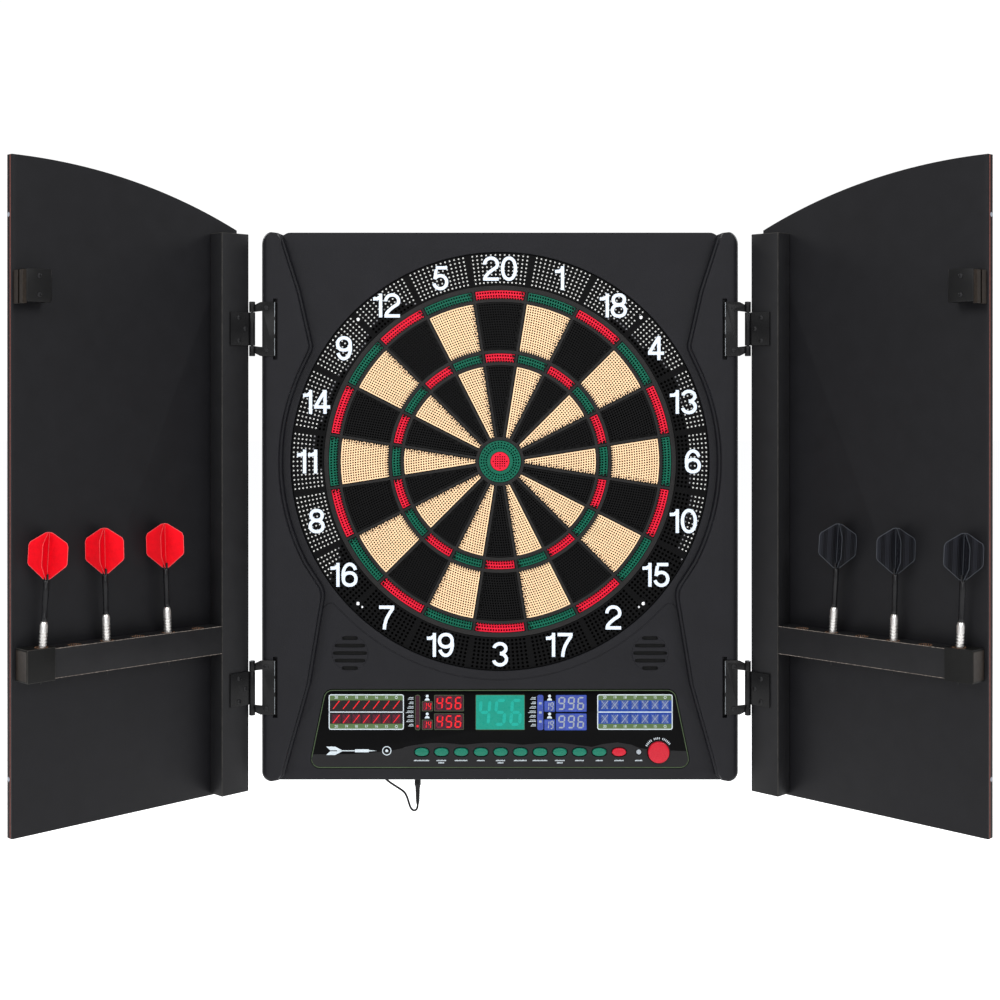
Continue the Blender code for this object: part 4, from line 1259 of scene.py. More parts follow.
def lattice_edge(reach, half, radius):
    """The stepped outline of the square tiles that lie wholly inside a radius."""
    steps = []
    for i in range(-reach, reach + 1):
        tall = 0
        for j in range(reach + 1):
            if math.hypot((abs(i) + 0.5) * 2 * half, (j + 0.5) * 2 * half) < radius:
                tall = j + 1
        if tall:
            steps.append((i, (2 * tall - 1) * half))
    top = []
    for i, high in steps:
        top += [((2 * i - 1) * half, high), ((2 * i + 1) * half, high)]
    bottom = [(x, -z) for x, z in reversed(top)]
    return top + bottom


def spider():
    """The ridges between the beds, cut from one plate with softened edges."""
    holes = []
    for inner, outer in RINGS.values():
        for k in range(BEDS):
            outline = []
            for radius, direction in ((inner - 0.4 * MM, -1), (outer + 0.4 * MM, 1)):
                half = 180.0 / BEDS - math.degrees(math.asin(RIDGE / 2 / radius))
                middle = 90.0 + 360.0 / BEDS * k
                outline += arc(radius, middle - direction * half, middle + direction * half, 14)
            holes.append(outline)
    holes.append(circle(OUTER_BULL[1] + 0.4 * MM, 96))
    made = plate("spider_ridges", [circle(SPIDER_R, 200), *holes], SPIDER_Y, WEB_Y - 0.7 * MM, 0.45 * MM)
    finish(made, "ridge", "housing", "target_black", "spider_frame")


# How many rows of the number ring get floors painted white for the light that shows through the ring's holes, by
# the angle clockwise from the top
WHITE_ROWS = (
    (-125, 0), (-121, 5), (-116, 8), (-94, 8), (-90, 6), (
        -82, 5.4
    ), (-76, 6.4), (-62, 6.6), (-54, 8), (-46, 6.5), (-38, 4.5), (-33, 5.2), (-27, 8),
    (34, 8), (
        41, 6.2
    ), (50, 6.8), (58, 4.4), (66, 3.4), (74, 5), (88, 5), (97, 4), (110, 3), (117, 2), (119, 0),
)


def white_rows(turn_deg):
    turn = (turn_deg + 180.0) % 360.0 - 180.0
    for (a, low), (b, high) in zip(WHITE_ROWS, WHITE_ROWS[1:]):
        if a <= turn < b:
            return low + (high - low) * (turn - a) / (b - a)
    return 0.0


def catch_ring():
    """The number ring: a grid of round holes in twenty sectors, the upper ones with shallow floors painted white
    and grey and glowing faintly, as painted light for the light that shows through them.
    """
    columns = 13
    rows = 8
    outer, inner = 210.2 * MM, 178.7 * MM
    sector = 360.0 / BEDS
    gap = 0.64
    shape = Shape()
    edges = []
    step = (outer - inner) / rows
    for k in range(BEDS):
        start = sector * (k - 0.5) + gap
        width = (sector - 2 * gap) / columns
        for i in range(rows):
            high, low = outer - step * i, outer - step * (i + 1)
            for j in range(columns):
                turns = (start + width * j, start + width * (j + 1))
                corners = [
                    polar(high, turns[0]), polar(high, turns[1]), polar(low, turns[1]), polar(low, turns[0])
                ]
                white = white_rows(sum(turns) / 2) - i
                # Rows that show white get a shallow floor painted white, grey at the edge of the white: painted
                # light seen through the holes
                bottom = 2 if white > 0.75 else 3 if white > 0.0 else 1
                depth = 0.35 * MM if white > 0.0 else 1.4 * MM
                cell(shape, corners, (2.2 if white > 0.0 else 2.8) * MM, depth, bottom, CATCH_Y, 8)
        a, b = start - 2 * gap, start
        for i in range(rows):
            high, low = outer - step * i, outer - step * (i + 1)
            quad = [polar(high, a), polar(high, b), polar(low, b), polar(low, a)]
            shape.add(at_y(quad, CATCH_Y), [(0, 1, 2, 3)])
        edges += [start + width * j for j in range(columns + 1)]
    for radii in ((CATCH_R[1] - 0.2 * MM, outer), (inner, CATCH_R[0])):
        shape.loft([at_y([polar(r, a) for a in edges], CATCH_Y) for r in radii])
    lip = [(CATCH_R[1] - 0.2 * MM, CATCH_Y), (CATCH_R[1], CATCH_Y + 0.2 * MM), (CATCH_R[1], CATCH_Y + 3 * MM)]
    shape.loft([at_y([polar(r, a) for a in edges], y) for r, y in lip])
    shape.loft([at_y([polar(CATCH_R[0], a) for a in edges], y) for y in (CATCH_Y, CATCH_Y + 3 * MM)])
    made = shape.object("catch_ring_grid", ["catch", "hole", "hole_white", "hole_grey"])
    settle(made, "housing", "target_black", "catch_ring")
    numerals()
    ring_screws()


def text(name, body, height, place, thickness, weight=0.0):
    """Upright figures facing the front, standing out from a surface."""
    curve = bpy.data.curves.new(name, "FONT")
    curve.body = body
    curve.align_x = "CENTER"
    curve.align_y = "CENTER"
    curve.size = height / 0.729
    curve.offset = weight
    curve.extrude = thickness / 2
    curve.space_character = 0.93
    curve.resolution_u = 8
    obj = new_object(name, curve)
    obj.location = place
    obj.rotation_euler = (math.pi / 2, 0.0, 0.0)
    return applied(obj)


def ribbon(shape, points, width, front_y, back_y):
    """A flat stroke of even width along points, with square ends."""
    half = width / 2
    sides = []
    for i, point in enumerate(points):
        here = Vector(point)
        back = (here - Vector(points[i - 1])).normalized() if i else None
        ahead = (Vector(points[i + 1]) - here).normalized() if i + 1 < len(points) else None
        heading = ((back or ahead) + (ahead or back)).normalized()
        across = Vector((-heading.y, heading.x))
        reach = half / max(0.6, heading.dot(ahead or back))
        sides.append((here + across * reach, here - across * reach))
    rings = []
    for left, right in sides:
        rings.append([(left.x, front_y, left.y), (right.x, front_y, right.y)]
                     + [(right.x, back_y, right.y), (left.x, back_y, left.y)])
    shape.loft(rings, 0, True, True)


def hoop(shape, centre, width, height, thick, front_y, back_y, power=2.15):
    """A closed oval stroke, its sizes measured at the middle of the stroke."""
    steps = 56
    outer = ellipse(width + thick, height + thick, centre, steps, power)
    inner = ellipse(width - thick, height - thick, centre, steps, power)
    rings = [at_y(outer, back_y), at_y(outer, front_y), at_y(inner, front_y), at_y(inner, back_y)]
    shape.loft([*rings, rings[0]])


def oval_arc(centre, reach_x, reach_z, start_deg, end_deg, steps=28):
    """Points along part of an ellipse, angles counted as on a clock's face from the right, upwards."""
    points = []
    for i in range(steps + 1):
        angle = math.radians(start_deg + (end_deg - start_deg) * i / steps)
        points.append((centre[0] + reach_x * math.cos(angle), centre[1] + reach_z * math.sin(angle)))
    return points


FIGURE_W = 16.2 * MM
ONE_W = 9.2 * MM
FIGURE_GAP = 1.9 * MM


def figure(shape, character, low_x, low_z, front_y, back_y):
    """One plain grotesque figure with its lower left corner at (low_x, low_z); returns its width."""
    thick = NUMBER_STROKE
    half = thick / 2
    wide, tall = FIGURE_W, NUMBER_H
    mid = wide / 2
    span = wide / 2 - half
    top = tall - half
    flip = character == "9"
    strokes = []
    hoops = []
    if character == "0":
        hoops.append(((mid, tall / 2), 2 * span, tall - thick + 0.6 * MM))
    elif character == "1":
        stem = ONE_W - half
        strokes.append([(stem, 0.0), (stem, tall)])
        flag_z = tall - 5.4 * MM
        strokes.append(
            [(0.0, flag_z), (stem - 3.2 * MM, flag_z + 0.2 * MM), (stem - 0.9 * MM, flag_z + 1.9 * MM)]
        )
    elif character == "2":
        bow = oval_arc((mid, tall - 7.4 * MM), span, 7.4 * MM - half + 0.3 * MM, 184, -32)
        foot = [(mid + 0.6 * MM, 10.2 * MM), (mid - 3.2 * MM, 7.0 * MM), (half + 0.9 * MM, 4.2 * MM)]
        strokes.append([*bow, *foot, (half + 0.3 * MM, half)])
        strokes.append([(0.3 * MM, half * 0.92), (wide - 0.3 * MM, half * 0.92)])
    elif character == "3":
        strokes.append(
            oval_arc((mid, tall - 6.3 * MM), span - 0.5 * MM, 6.3 * MM - half + 0.3 * MM, 172, -90)
        )
        strokes.append(oval_arc((mid, 7.0 * MM), span, 7.0 * MM - half + 0.3 * MM, 90, -168))
    elif character == "4":
        stem = wide - 5.2 * MM
        strokes.append([(stem, 0.0), (stem, tall)])
        strokes.append([(stem - 0.6 * MM, tall - 1.6 * MM), (1.4 * MM, 7.4 * MM)])
        strokes.append([(0.1 * MM, 6.9 * MM), (wide, 6.9 * MM)])
    elif character == "5":
        strokes.append([(3.4 * MM, top), (wide - 1.3 * MM, top)])
        strokes.append([(3.9 * MM, tall - thick), (2.6 * MM, 10.9 * MM)])
        strokes.append(oval_arc((mid - 0.1 * MM, 7.9 * MM), span, 7.9 * MM - half + 0.3 * MM, 150, -168))
    elif character in "69":
        hoops.append(((mid + 0.1 * MM, 7.8 * MM), 2 * span - 0.2 * MM, 12.4 * MM))
        strokes.append(
            oval_arc((mid + 0.2 * MM, 12.0 * MM), span + 0.2 * MM, top - 12.0 * MM + 0.3 * MM, 200, 28)
        )
    elif character == "7":
        strokes.append([(0.5 * MM, top), (wide - 0.5 * MM, top)])
        leg = [(wide - 2.0 * MM, tall - 3.0 * MM), (10.6 * MM, 15.6 * MM), (7.8 * MM, 10.4 * MM)]
        strokes.append([*leg, (6.2 * MM, 4.8 * MM), (5.7 * MM, 0.0)])
    elif character == "8":
        hoops.append(((mid, tall - 6.3 * MM), 2 * span - 1.6 * MM, 12.6 * MM - thick + 0.6 * MM))
        hoops.append(((mid, 6.95 * MM), 2 * span, 13.9 * MM - thick + 0.6 * MM))

    def put(point):
        x, z = point
        if flip:
            x, z = wide - x, tall - z
        return (low_x + x, low_z + z)

    for k, points in enumerate(strokes):
        ribbon(shape, [put(p) for p in points], thick, front_y - k * 0.01 * MM, back_y)
    for k, (centre, width, height) in enumerate(hoops):
        hoop(shape, put(centre), width, height, thick, front_y + (k + 1) * 0.01 * MM, back_y)
    return ONE_W if character == "1" else wide


def numerals():
    front = CATCH_Y - 1.15 * MM
    for k, number in enumerate(NUMBERS):
        x, z = polar(NUMBER_R, 360.0 / BEDS * k)
        body = str(number)
        widths = [ONE_W if c == "1" else FIGURE_W for c in body]
        pen = x - (sum(widths) + FIGURE_GAP * (len(body) - 1)) / 2
        shape = Shape()
        for character in body:
            pen += figure(shape, character, pen, z - NUMBER_H / 2, front, CATCH_Y + 0.1 * MM) + FIGURE_GAP
        settle(shape.object(f"number_{number}", ["number"], 40, weld=False), "housing", "number_white")


def pan_head(radius):
    """A pan-head screw pointing along -Y from the origin, with a cross recess."""
    shape = Shape()
    profile = [(0.02 * MM, radius * 0.62)]
    for i in range(1, 9):
        angle = math.radians(90 * i / 8)
        profile.append((radius * math.sin(angle), radius * (0.12 + 0.5 * math.cos(angle))))
    profile.append((radius, 0.0))
    shape.turn(profile, 28, 0, (0, 0, 0), Matrix.Rotation(math.radians(90), 4, "X"))
    head = shape.object("head", ["screw"])
    cross = Shape()
    wide, long = radius * 0.13, radius * 0.55
    arm = [(-wide, -long), (wide, -long), (wide, -wide)]
    outline = []
    for _ in range(4):
        outline += arm
        arm = [(-z, x) for x, z in arm]
    cross.loft([at_y(outline, -radius), at_y(outline, -radius * 0.3)], 0, True, True)
    merged = cross.object("cross", ["screw"])
    return smooth(cut(head, merged), 35)


SCREW_MESHES = {}


def screw(name, radius, place, key, body, slot, move=None):
    """A screw head on a surface at place, facing -Y before it is moved."""
    if radius not in SCREW_MESHES:
        made = pan_head(radius)
        SCREW_MESHES[radius] = made.data.copy()
        bpy.data.objects.remove(made)
    obj = new_object(name, SCREW_MESHES[radius].copy())
    obj.matrix_world = (move or Matrix.Identity(4)) @ Matrix.Translation(place)
    return settle(paint(obj, key), body, slot)


def ring_screws():
    """The four screws that hold the number ring, each in its dark boss at the rim."""
    for number, (x, z) in enumerate(((-143.0, 143.2), (142.1, 145.2), (-143.2, -143.2), (144.4, -143.2)), 1):
        boss = Shape()
        centre = Vector((x, 0.0, z)).normalized() * 201.0 * MM
        rise = CATCH_Y - 0.5 * MM
        tilt = Matrix.Rotation(math.radians(90), 4, "X")
        profile = mm([(4.3, 0.0), (4.3, 0.3), (3.9, 0.6), (0.1, 0.6)])
        boss.turn(profile, 36, 0, (centre.x, rise + 0.6 * MM, centre.z), tilt)
        made = boss.object(f"ring_boss_{number}", ["catch"], 35)
        settle(made, "housing", "target_black")
        screw(f"ring_screw_{number}", 1.9 * MM, (x * MM, rise, z * MM), "screw", "housing", "screw_steel")
        if z < 0:
            pin = Shape()
            place = (x * MM - math.copysign(4.3 * MM, x), CATCH_Y - 0.4 * MM, z * MM - 3.4 * MM)
            pin.turn(mm([(1.1, 0.0), (1.1, 0.5), (0.7, 0.8)]), 20, 0, place, tilt)
            settle(pin.object(f"ring_pin_{number}", ["screw"], 35), "housing", "screw_steel")


def target():
    spider()
    beds()
    bulls()
    catch_ring()


# ---------------------------------------------------------------- control panel

PRINT_Y = LENS_Y - 0.05 * MM
LAYER = 0.05 * MM
SEGMENTS = {
    "0": "abcdef",
    "1": "bc",
    "4": "bcfg",
    "5": "acdfg",
    "6": "acdefg",
    "9": "abcdfg",
}


def thin(name, parts, materials, slot, body="housing"):
    """Printed or lit shapes on the lens: (outline, layer, material number) each, as one piece."""
    shape = Shape()
    for outline, layer, kind in parts:
        front = PRINT_Y - layer * LAYER
        shape.loft([at_y(outline, LENS_Y + 0.02 * MM), at_y(outline, front)], kind, False, True)
    return settle(shape.object(name, materials, weld=False), body, slot)


def frame_ring(outline, width):
    """The four-sided band just inside an outline, as flat quads."""
    inner = inset_by(outline, width)
    return [
        [
            outline[i], outline[(i + 1) % len(outline)], inner[(i + 1) % len(outline)], inner[i]
        ] for i in range(len(outline))
    ]


def digit(character, low, size, slant=0.08):
    """The lit bars of a seven-segment figure: (outline, lit) with its lower left corner at low."""
    width, height = size
    bar = height * 0.135
    gap = bar * 0.14
    lines = {
        "a": ((0, height), (width, height)),
        "b": ((width, height / 2), (width, height)),
        "c": ((width, 0), (width, height / 2)),
        "d": ((0, 0), (width, 0)),
        "e": ((0, 0), (0, height / 2)),
        "f": ((0, height / 2), (0, height)),
        "g": ((0, height / 2), (width, height / 2)),
    }
    bars = []
    for key, ((x0, z0), (x1, z1)) in lines.items():
        a, b = Vector((x0, z0)), Vector((x1, z1))
        along = (b - a).normalized()
        across = Vector((-along.y, along.x)) * bar / 2
        a, b = a + along * gap, b - along * gap
        tip = along * bar / 2
        points = [a, a + tip + across, b - tip + across, b, b - tip - across, a + tip - across]
        outline = [(low[0] + p.x + slant * p.y, low[1] + p.y) for p in points]
        bars.append((outline, key in SEGMENTS[character]))
    return bars


def digits(characters, low, size, pitch):
    bars = []
    for i, character in enumerate(characters):
        bars += digit(character, (low[0] + pitch * i, low[1]), size)
    return bars


def score_display(name, box, characters, window, lit, dim, slot, ring):
    """A small numeric window: its field, a thin frame and the figures, unlit bars faintly seen."""
    low_x, low_z, high_x, high_z = [v * MM for v in box]
    outline = rectangle(low_x, low_z, high_x, high_z, 0.9 * MM)
    parts = [(outline, 0, 0)]
    parts += [(quad, 1, 3) for quad in frame_ring(outline, 0.45 * MM)]
    margin_z = (high_z - low_z) * 0.16
    count = len(characters)
    pitch = (high_x - low_x - 2.0 * MM) / count
    size = (pitch * 0.56, high_z - low_z - 2 * margin_z)
    low = (low_x + 1.0 * MM + pitch * 0.17, low_z + margin_z)
    for bar, on in digits(characters, low, size, pitch):
        parts.append((bar, 2 if on else 1, 1 if on else 2))
    return thin(name, parts, [window, lit, dim, ring], slot)


def slashes(low, size, kind_fore, kind_back, crosses):
    """One marker cell: a bold slash, with the other strokes of a crossed box more faintly behind."""
    (x, z), (width, height) = low, size

    def stroke(a, b, thick):
        a, b = Vector(a), Vector(b)
        along = (b - a).normalized()
        across = Vector((-along.y, along.x)) * thick / 2
        return [tuple(a - across), tuple(a + across), tuple(b + across), tuple(b - across)]

    parts = []
    diagonal = ((x, z), (x + width, z + height))
    other = ((x, z + height), (x + width, z))
    if crosses:
        parts.append((stroke(*other, 0.55 * MM), 1, kind_back))
        for k in (0.35, 0.7):
            parts.append(
                (stroke((x, z + height * k), (x + width * (1 - k), z + height), 0.35 * MM), 1, kind_back)
            )
            parts.append(
                (stroke((x + width * k, z), (x + width, z + height * (1 - k)), 0.35 * MM), 1, kind_back)
            )
    parts.append((stroke(*diagonal, 0.9 * MM), 2, kind_fore))
    return parts


def marker_display(name, low_x, high_x, field, fore, back, slot, crosses):
    """The seven-column marker window: pale frame, olive header and footer, two rows of marks."""
    low_z, high_z = -270.0 * MM, -234.4 * MM
    outer = rectangle(low_x, low_z, high_x, high_z, 2.2 * MM)
    parts = [(outer, 0, 0)]
    parts += [(quad, 2, 1) for quad in frame_ring(outer, 0.95 * MM)]
    head = 6.0 * MM
    for z in (high_z - head, low_z + 0.9 * MM):
        parts.append((rectangle(low_x + 1.0 * MM, z, high_x - 1.0 * MM, z + head - 0.9 * MM), 1, 2))
    middle = (low_z + high_z) / 2
    parts.append((rectangle(low_x, middle - 0.45 * MM, high_x, middle + 0.45 * MM), 2, 1))
    pitch = (high_x - low_x - 5.0 * MM) / 7
    row_h = middle - 0.45 * MM - (low_z + head)
    for row in (0, 1):
        z = low_z + head + row_h * 0.05 if row == 0 else middle + 0.45 * MM + row_h * 0.22
        for k in range(7):
            x = low_x + 2.5 * MM + pitch * (k + 0.1)
            field_low = (x - pitch * 0.04, z - row_h * 0.02)
            cell_box = rectangle(*field_low, field_low[0] + pitch * 0.9, field_low[1] + row_h * 0.8)
            parts.append((cell_box, 0.5, 5 if row == 0 or crosses else 0))
            parts += slashes(
                (x + pitch * 0.08, z + row_h * 0.02), (pitch * 0.64, row_h * 0.72), 3, 4,
                crosses or row == 0,
            )
    materials = [field, "print", "olive", fore, back, "led_dark" if field == "led_black" else field]
    made = thin(name, parts, materials, slot)
    labels = ("20", "19", "18", "17", "16", "15")
    for row, z in enumerate((high_z - head / 2 - 0.1 * MM, low_z + head / 2 + 0.3 * MM)):
        for k, label in enumerate(labels):
            x = low_x + 2.5 * MM + pitch * (k + 0.5)
            tag = text(f"{name}_label_{row}_{label}", label, 2.7 * MM, (x, PRINT_Y - 2 * LAYER, z), 0.1 * MM)
            settle(paint(tag, "print"), "housing", "number_white")
        centre = (low_x + 2.5 * MM + pitch * 6.5, z)
        ring = frame_ring(circle(1.4 * MM, 16, centre), 0.45 * MM)
        thin(f"{name}_bull_{row}", [(quad, 2, 0) for quad in ring], ["print"], "number_white")
    return made


def player_mark(x, z):
    """A head and shoulders, 6 mm tall."""
    head = circle(1.5 * MM, 16, (x, z + 4.4 * MM))
    shoulders = [(x - 2.5 * MM, z), (x + 2.5 * MM, z), *arc(2.5 * MM, 0, 180, 10, (x, z))[1:-1]]
    return [(head, 0, 0), (shoulders, 0, 0)]


def mode_bar(name, low_x, high_x, field, lit, ring, slot, lit_at):
    """A column of small indicators in a rounded window, with generic dashes beside it."""
    outline = rectangle(low_x * MM, -270.4 * MM, high_x * MM, -234.9 * MM, 1.9 * MM)
    parts = [(outline, 0, 0)]
    parts += [(quad, 1, 2) for quad in frame_ring(outline, 0.5 * MM)]
    for k in range(7):
        z = (-266.4 + 4.6 * k) * MM
        spot = rectangle((low_x + 1.6) * MM, z - 1.1 * MM, (high_x - 1.6) * MM, z + 1.1 * MM)
        parts.append((spot, 2, 1 if k in lit_at else 0))
    thin(name, parts, [field, lit, ring], slot)
    dashes = []
    for k, width in enumerate((5.2, 7.4, 6.6, 7.8, 6.4, 4.8, 5.6)):
        z = (-266.6 + 4.5 * k) * MM
        right = (low_x - 1.4) * MM
        for line in (0.0, 1.5):
            reach = width * (0.8 if line else 1.0)
            dashes += word(right - reach * MM, z + line * MM, reach, 0.9)
    thin(name + "_dashes", dashes, ["print"], "number_white")


def word(low_x, low_z, length, height):
    """A row of small upright blocks, as long as a printed word."""
    parts = []
    count = max(2, round(length / (height * 0.9)))
    step = length / count * MM
    for i in range(count):
        tall = height * (1.0 if i % 3 else 0.75) * MM
        x = low_x + step * i
        parts.append((rectangle(x, low_z, x + step * 0.66, low_z + tall), 0, 0))
    return parts


def lens():
    """The printed window: gloss above, a satin strip with a scalloped edge below, and a thin outline."""
    outline = lens_outline()
    holes = []
    for k in range(11):
        holes.append(ellipse(15.0 * MM, 9.0 * MM, (button_x(k), BUTTON_Z), 40, 2.25))
    holes.append(circle(2.9 * MM, 28, (button_x(11), BUTTON_Z)))
    holes.append(circle(11.2 * MM, 64, (button_x(12), BUTTON_Z)))
    made = plate("panel_window", [outline, *holes], LENS_Y, LENS_Y + 2.4 * MM, 0.25 * MM, 2)
    finish(made, "lens", "housing", "lens_gloss", "control_panel_lens")
    edge = frame_ring(lens_outline(-0.2 * MM), 0.8 * MM)
    thin("panel_outline", [(quad, 0, 0) for quad in edge], ["outline"], "outline_green")
    wider = [inset_by(hole, -0.5 * MM) for hole in holes]
    lower = plate("panel_strip", [scalloped_strip(), *wider], PRINT_Y, LENS_Y + 0.05 * MM)
    settle(paint(lower, "strip"), "housing", "housing_black")


def scalloped_strip():
    """The satin strip's outline: its top edge steps up and arches over the buttons."""
    bottom = -307.3 * MM

    def side_x(z):
        return (176.0 + 16.3 * (-229.8 * MM - z) / (78.8 * MM)) * MM - 1.5 * MM

    low_left = -294.8 * MM
    line = [(-side_x(low_left), low_left), (-150.0 * MM, -294.6 * MM)]
    line += mm([(-112.0, -291.6), (-98.0, -288.6)])
    start, end = -96.0 * MM, 92.0 * MM
    steps = 70
    for i in range(steps + 1):
        x = start + (end - start) * i / steps
        wave = abs(math.sin(math.pi * (x - start) / (3 * BUTTON_PITCH)))
        rise = 1.0 - ((x - (start + end) / 2) / ((end - start) / 2)) ** 8
        line.append((x, -287.4 * MM + (2.2 * MM + 2.0 * MM * wave) * rise))
    line += mm([(104.0, -284.4), (118.0, -282.8), (132.0, -285.0)])
    line += [(140.0 * MM, -288.4 * MM), (152.0 * MM, -290.2 * MM), (side_x(-291.6 * MM), -291.6 * MM)]
    right = side_x(bottom) - 8.2 * MM
    corner = arc(8.2 * MM, 0, -90, 8, (right, bottom + 8.2 * MM))
    line += corner
    line += [(-x, z) for x, z in reversed(corner)]
    return line


def button_x(k):
    return FIRST_BUTTON_X + BUTTON_PITCH * k


def push_button(name, outline, front_y, crown, material, slot):
    """A moulded cap: straight skirt, rounded shoulder and a slightly domed top."""
    shape = Shape()
    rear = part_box(name)[1].y
    levels = [(rear, 0.0), (front_y + crown, 0.0)]
    for i in range(1, 7):
        angle = math.radians(90 * i / 6)
        levels.append((front_y + crown * (1 - math.sin(angle) * 0.88), crown * 0.9 * (1 - math.cos(angle))))
    levels.append((front_y, crown * 1.9))
    domed(shape, outline, levels)
    settle(shape.object(name + "_cap", [material], 40), name, slot, name)


def controls():
    lens()
    for k in range(10):
        outline = ellipse(14.1 * MM, 8.1 * MM, (button_x(k), BUTTON_Z), 48, 2.2)
        push_button(
            f"select_button_{k + 1}", outline, LENS_Y - 1.6 * MM, 1.5 * MM, "button_green", "button_green"
        )
    outline = ellipse(14.1 * MM, 8.1 * MM, (button_x(10), BUTTON_Z), 48, 2.2)
    push_button("power_button", outline, LENS_Y - 1.6 * MM, 1.5 * MM, "button_red", "button_red")
    outline = circle(2.5 * MM, 28, (button_x(11), BUTTON_Z))
    push_button("reset_button", outline, LENS_Y - 0.6 * MM, 0.6 * MM, "button_grey", "silicone_grey")
    outline = circle(10.8 * MM, 72, (button_x(12), BUTTON_Z))
    push_button("start_button", outline, LENS_Y - 3.8 * MM, 1.5 * MM, "button_red", "button_red")

    marker_display(
        "left_marker_window", -172.4 * MM, -96.8 * MM, "led_black", "led_on", "led_dim", "display_red",
        False,
    )
    marker_display(
        "right_marker_window", 97.9 * MM, 173.8 * MM, "lcd_deep", "lcd_grey", "lcd_grey", "display_blue",
        True,
    )
    mode_bar("left_mode_bar", -85.6, -80.4, "led_dark", "led_on", "outline", "display_red", (0,))
    mode_bar("right_mode_bar", 37.6, 43.6, "lcd_blue", "lcd_grey", "lcd_blue", "display_blue", (1, 3, 5))
    marks = []
    for z in (-240.6 * MM, -258.6 * MM):
        marks += player_mark(-73.3 * MM, z)
        marks += player_mark(49.9 * MM, z)
    thin("player_marks", marks, ["print"], "number_white")
    red = ("led_dark", "led_on", "led_dim", "display_red", "outline")
    blue = ("lcd_blue", "lcd_grey", "lcd_blue", "display_blue", "lcd_deep")
    for row, top in (("upper", -235.0), ("lower", -253.6)):
        score_display(f"left_{row}_score", (-66.3, top - 16.4, -36.5, top), "456", *red)
        score_display(f"left_{row}_player", (-78.6, top - 16.4, -67.9, top - 6.3), "14", *red)
        score_display(f"right_{row}_score", (56.2, top - 17.0, 87.2, top), "996", *blue)
        score_display(f"right_{row}_player", (44.6, top - 17.0, 55.3, top - 6.0), "19", *blue)
    teal = ("lcd_teal", "lcd_teal_lit", "lcd_teal", "display_teal", "outline")
    score_display("main_score_window", (-24.6, -270.2, 24.9, -234.8), "456", *teal)
    labels()


def labels():
    """Generic dashes under the buttons, an arc of them round the start button, and a dart mark."""
    parts = []
    widths = (15.5, 10.0, 13.0, 8.0, 9.5, 13.0, 15.0, 10.0, 9.0, 7.0, 9.5, 7.5)
    for k, width in enumerate(widths):
        parts += word(button_x(k) - width / 2 * MM, -301.6 * MM, width, 1.3)
        if k in (1, 4, 7):
            parts += word(button_x(k) - 3 * MM, -303.9 * MM, 6.0, 1.3)
    for i in range(17):
        if i in (5, 10):
            continue
        angle = math.radians(152 - 116 * i / 16)
        reach = (12.7 * MM, 14.7 * MM)
        side = Vector((-math.sin(angle), math.cos(angle))) * 0.42 * MM
        out = Vector((math.cos(angle), math.sin(angle)))
        centre = Vector((button_x(12), BUTTON_Z))
        quad = [centre + out * reach[0] - side, centre + out * reach[0] + side]
        quad += [centre + out * reach[1] + side, centre + out * reach[1] - side]
        parts.append(([tuple(p) for p in quad], 0, 0))
    thin("panel_labels", [(outline, 1, kind) for outline, _, kind in parts], ["print"], "number_white")
    dart_mark(-176.0 * MM, -291.2 * MM)


def dart_mark(x, z):
    """A plain dart pictogram, pointing right, with a ring and a dot after it."""
    def box_at(start, end, half):
        return rectangle(x + start * MM, z - half * MM, x + end * MM, z + half * MM)

    parts = [box_at(12, 30, 0.45), box_at(30, 44, 1.5)]
    parts.append([(x + 44 * MM, z + 0.7 * MM), (x + 52 * MM, z), (x + 44 * MM, z - 0.7 * MM)])
    for sign in (-1, 1):
        wing = [(0, 0.5), (10, 0.5), (15, 0.6), (8, 4.2), (-1, 4.2), (3, 0.5)]
        parts.append([(x + (px + 2) * MM, z + sign * pz * MM) for px, pz in wing[1:]])
    marks = [(outline, 1, 0) for outline in parts]
    marks += [(quad, 1, 0) for quad in frame_ring(circle(4.6 * MM, 40, (x + 62 * MM, z)), 0.8 * MM)]
    marks.append((circle(1.4 * MM, 24, (x + 62 * MM, z)), 1, 0))
    thin("dart_mark", marks, ["print"], "number_white")


# ---------------------------------------------------------------- doors

PANEL_LAYERS = (
    # (name, low n, high n, rounding, material, slot)
    ("veneer", -32.0 * MM, -31.5 * MM, 0.15 * MM, "cherry", "laminate_cherry"),
    ("backing", -31.5 * MM, -27.6 * MM, 0.15 * MM, "laminate", "laminate_black"),
    ("core", -27.6 * MM, -25.9 * MM, 0.15 * MM, "core", "board_edge"),
    ("face", -25.9 * MM, -23.0 * MM, 0.35 * MM, "laminate", "laminate_black"),
)
PANEL_U = (2.0 * MM, 246.0 * MM)
PANEL_BOTTOM = -330.0 * MM
DOOR_ARC_TOP = 285.0 * MM
DOOR_ARC_R = 600.0 * MM


def door_place(side):
    """From a door's own frame, with x = side * u and y = n, to its place at rest."""
    turn = Matrix.Rotation(-side * math.radians(OPEN_DEG), 4, "Z")
    return Matrix.Translation((-side * PIN[0], PIN[1], 0.0)) @ turn


def on_door(obj, side):
    obj.data.transform(door_place(side))
    return obj


def panel_outline(side):
    low_u, high_u = PANEL_U
    points = [(side * low_u, PANEL_BOTTOM), (side * high_u, PANEL_BOTTOM)]
    steps = 48
    for i in range(steps + 1):
        u = high_u + (low_u - high_u) * i / steps
        z = DOOR_ARC_TOP - DOOR_ARC_R + math.sqrt(DOOR_ARC_R**2 - (PIN[0] - u) ** 2)
        points.append((side * u, z))
    return points


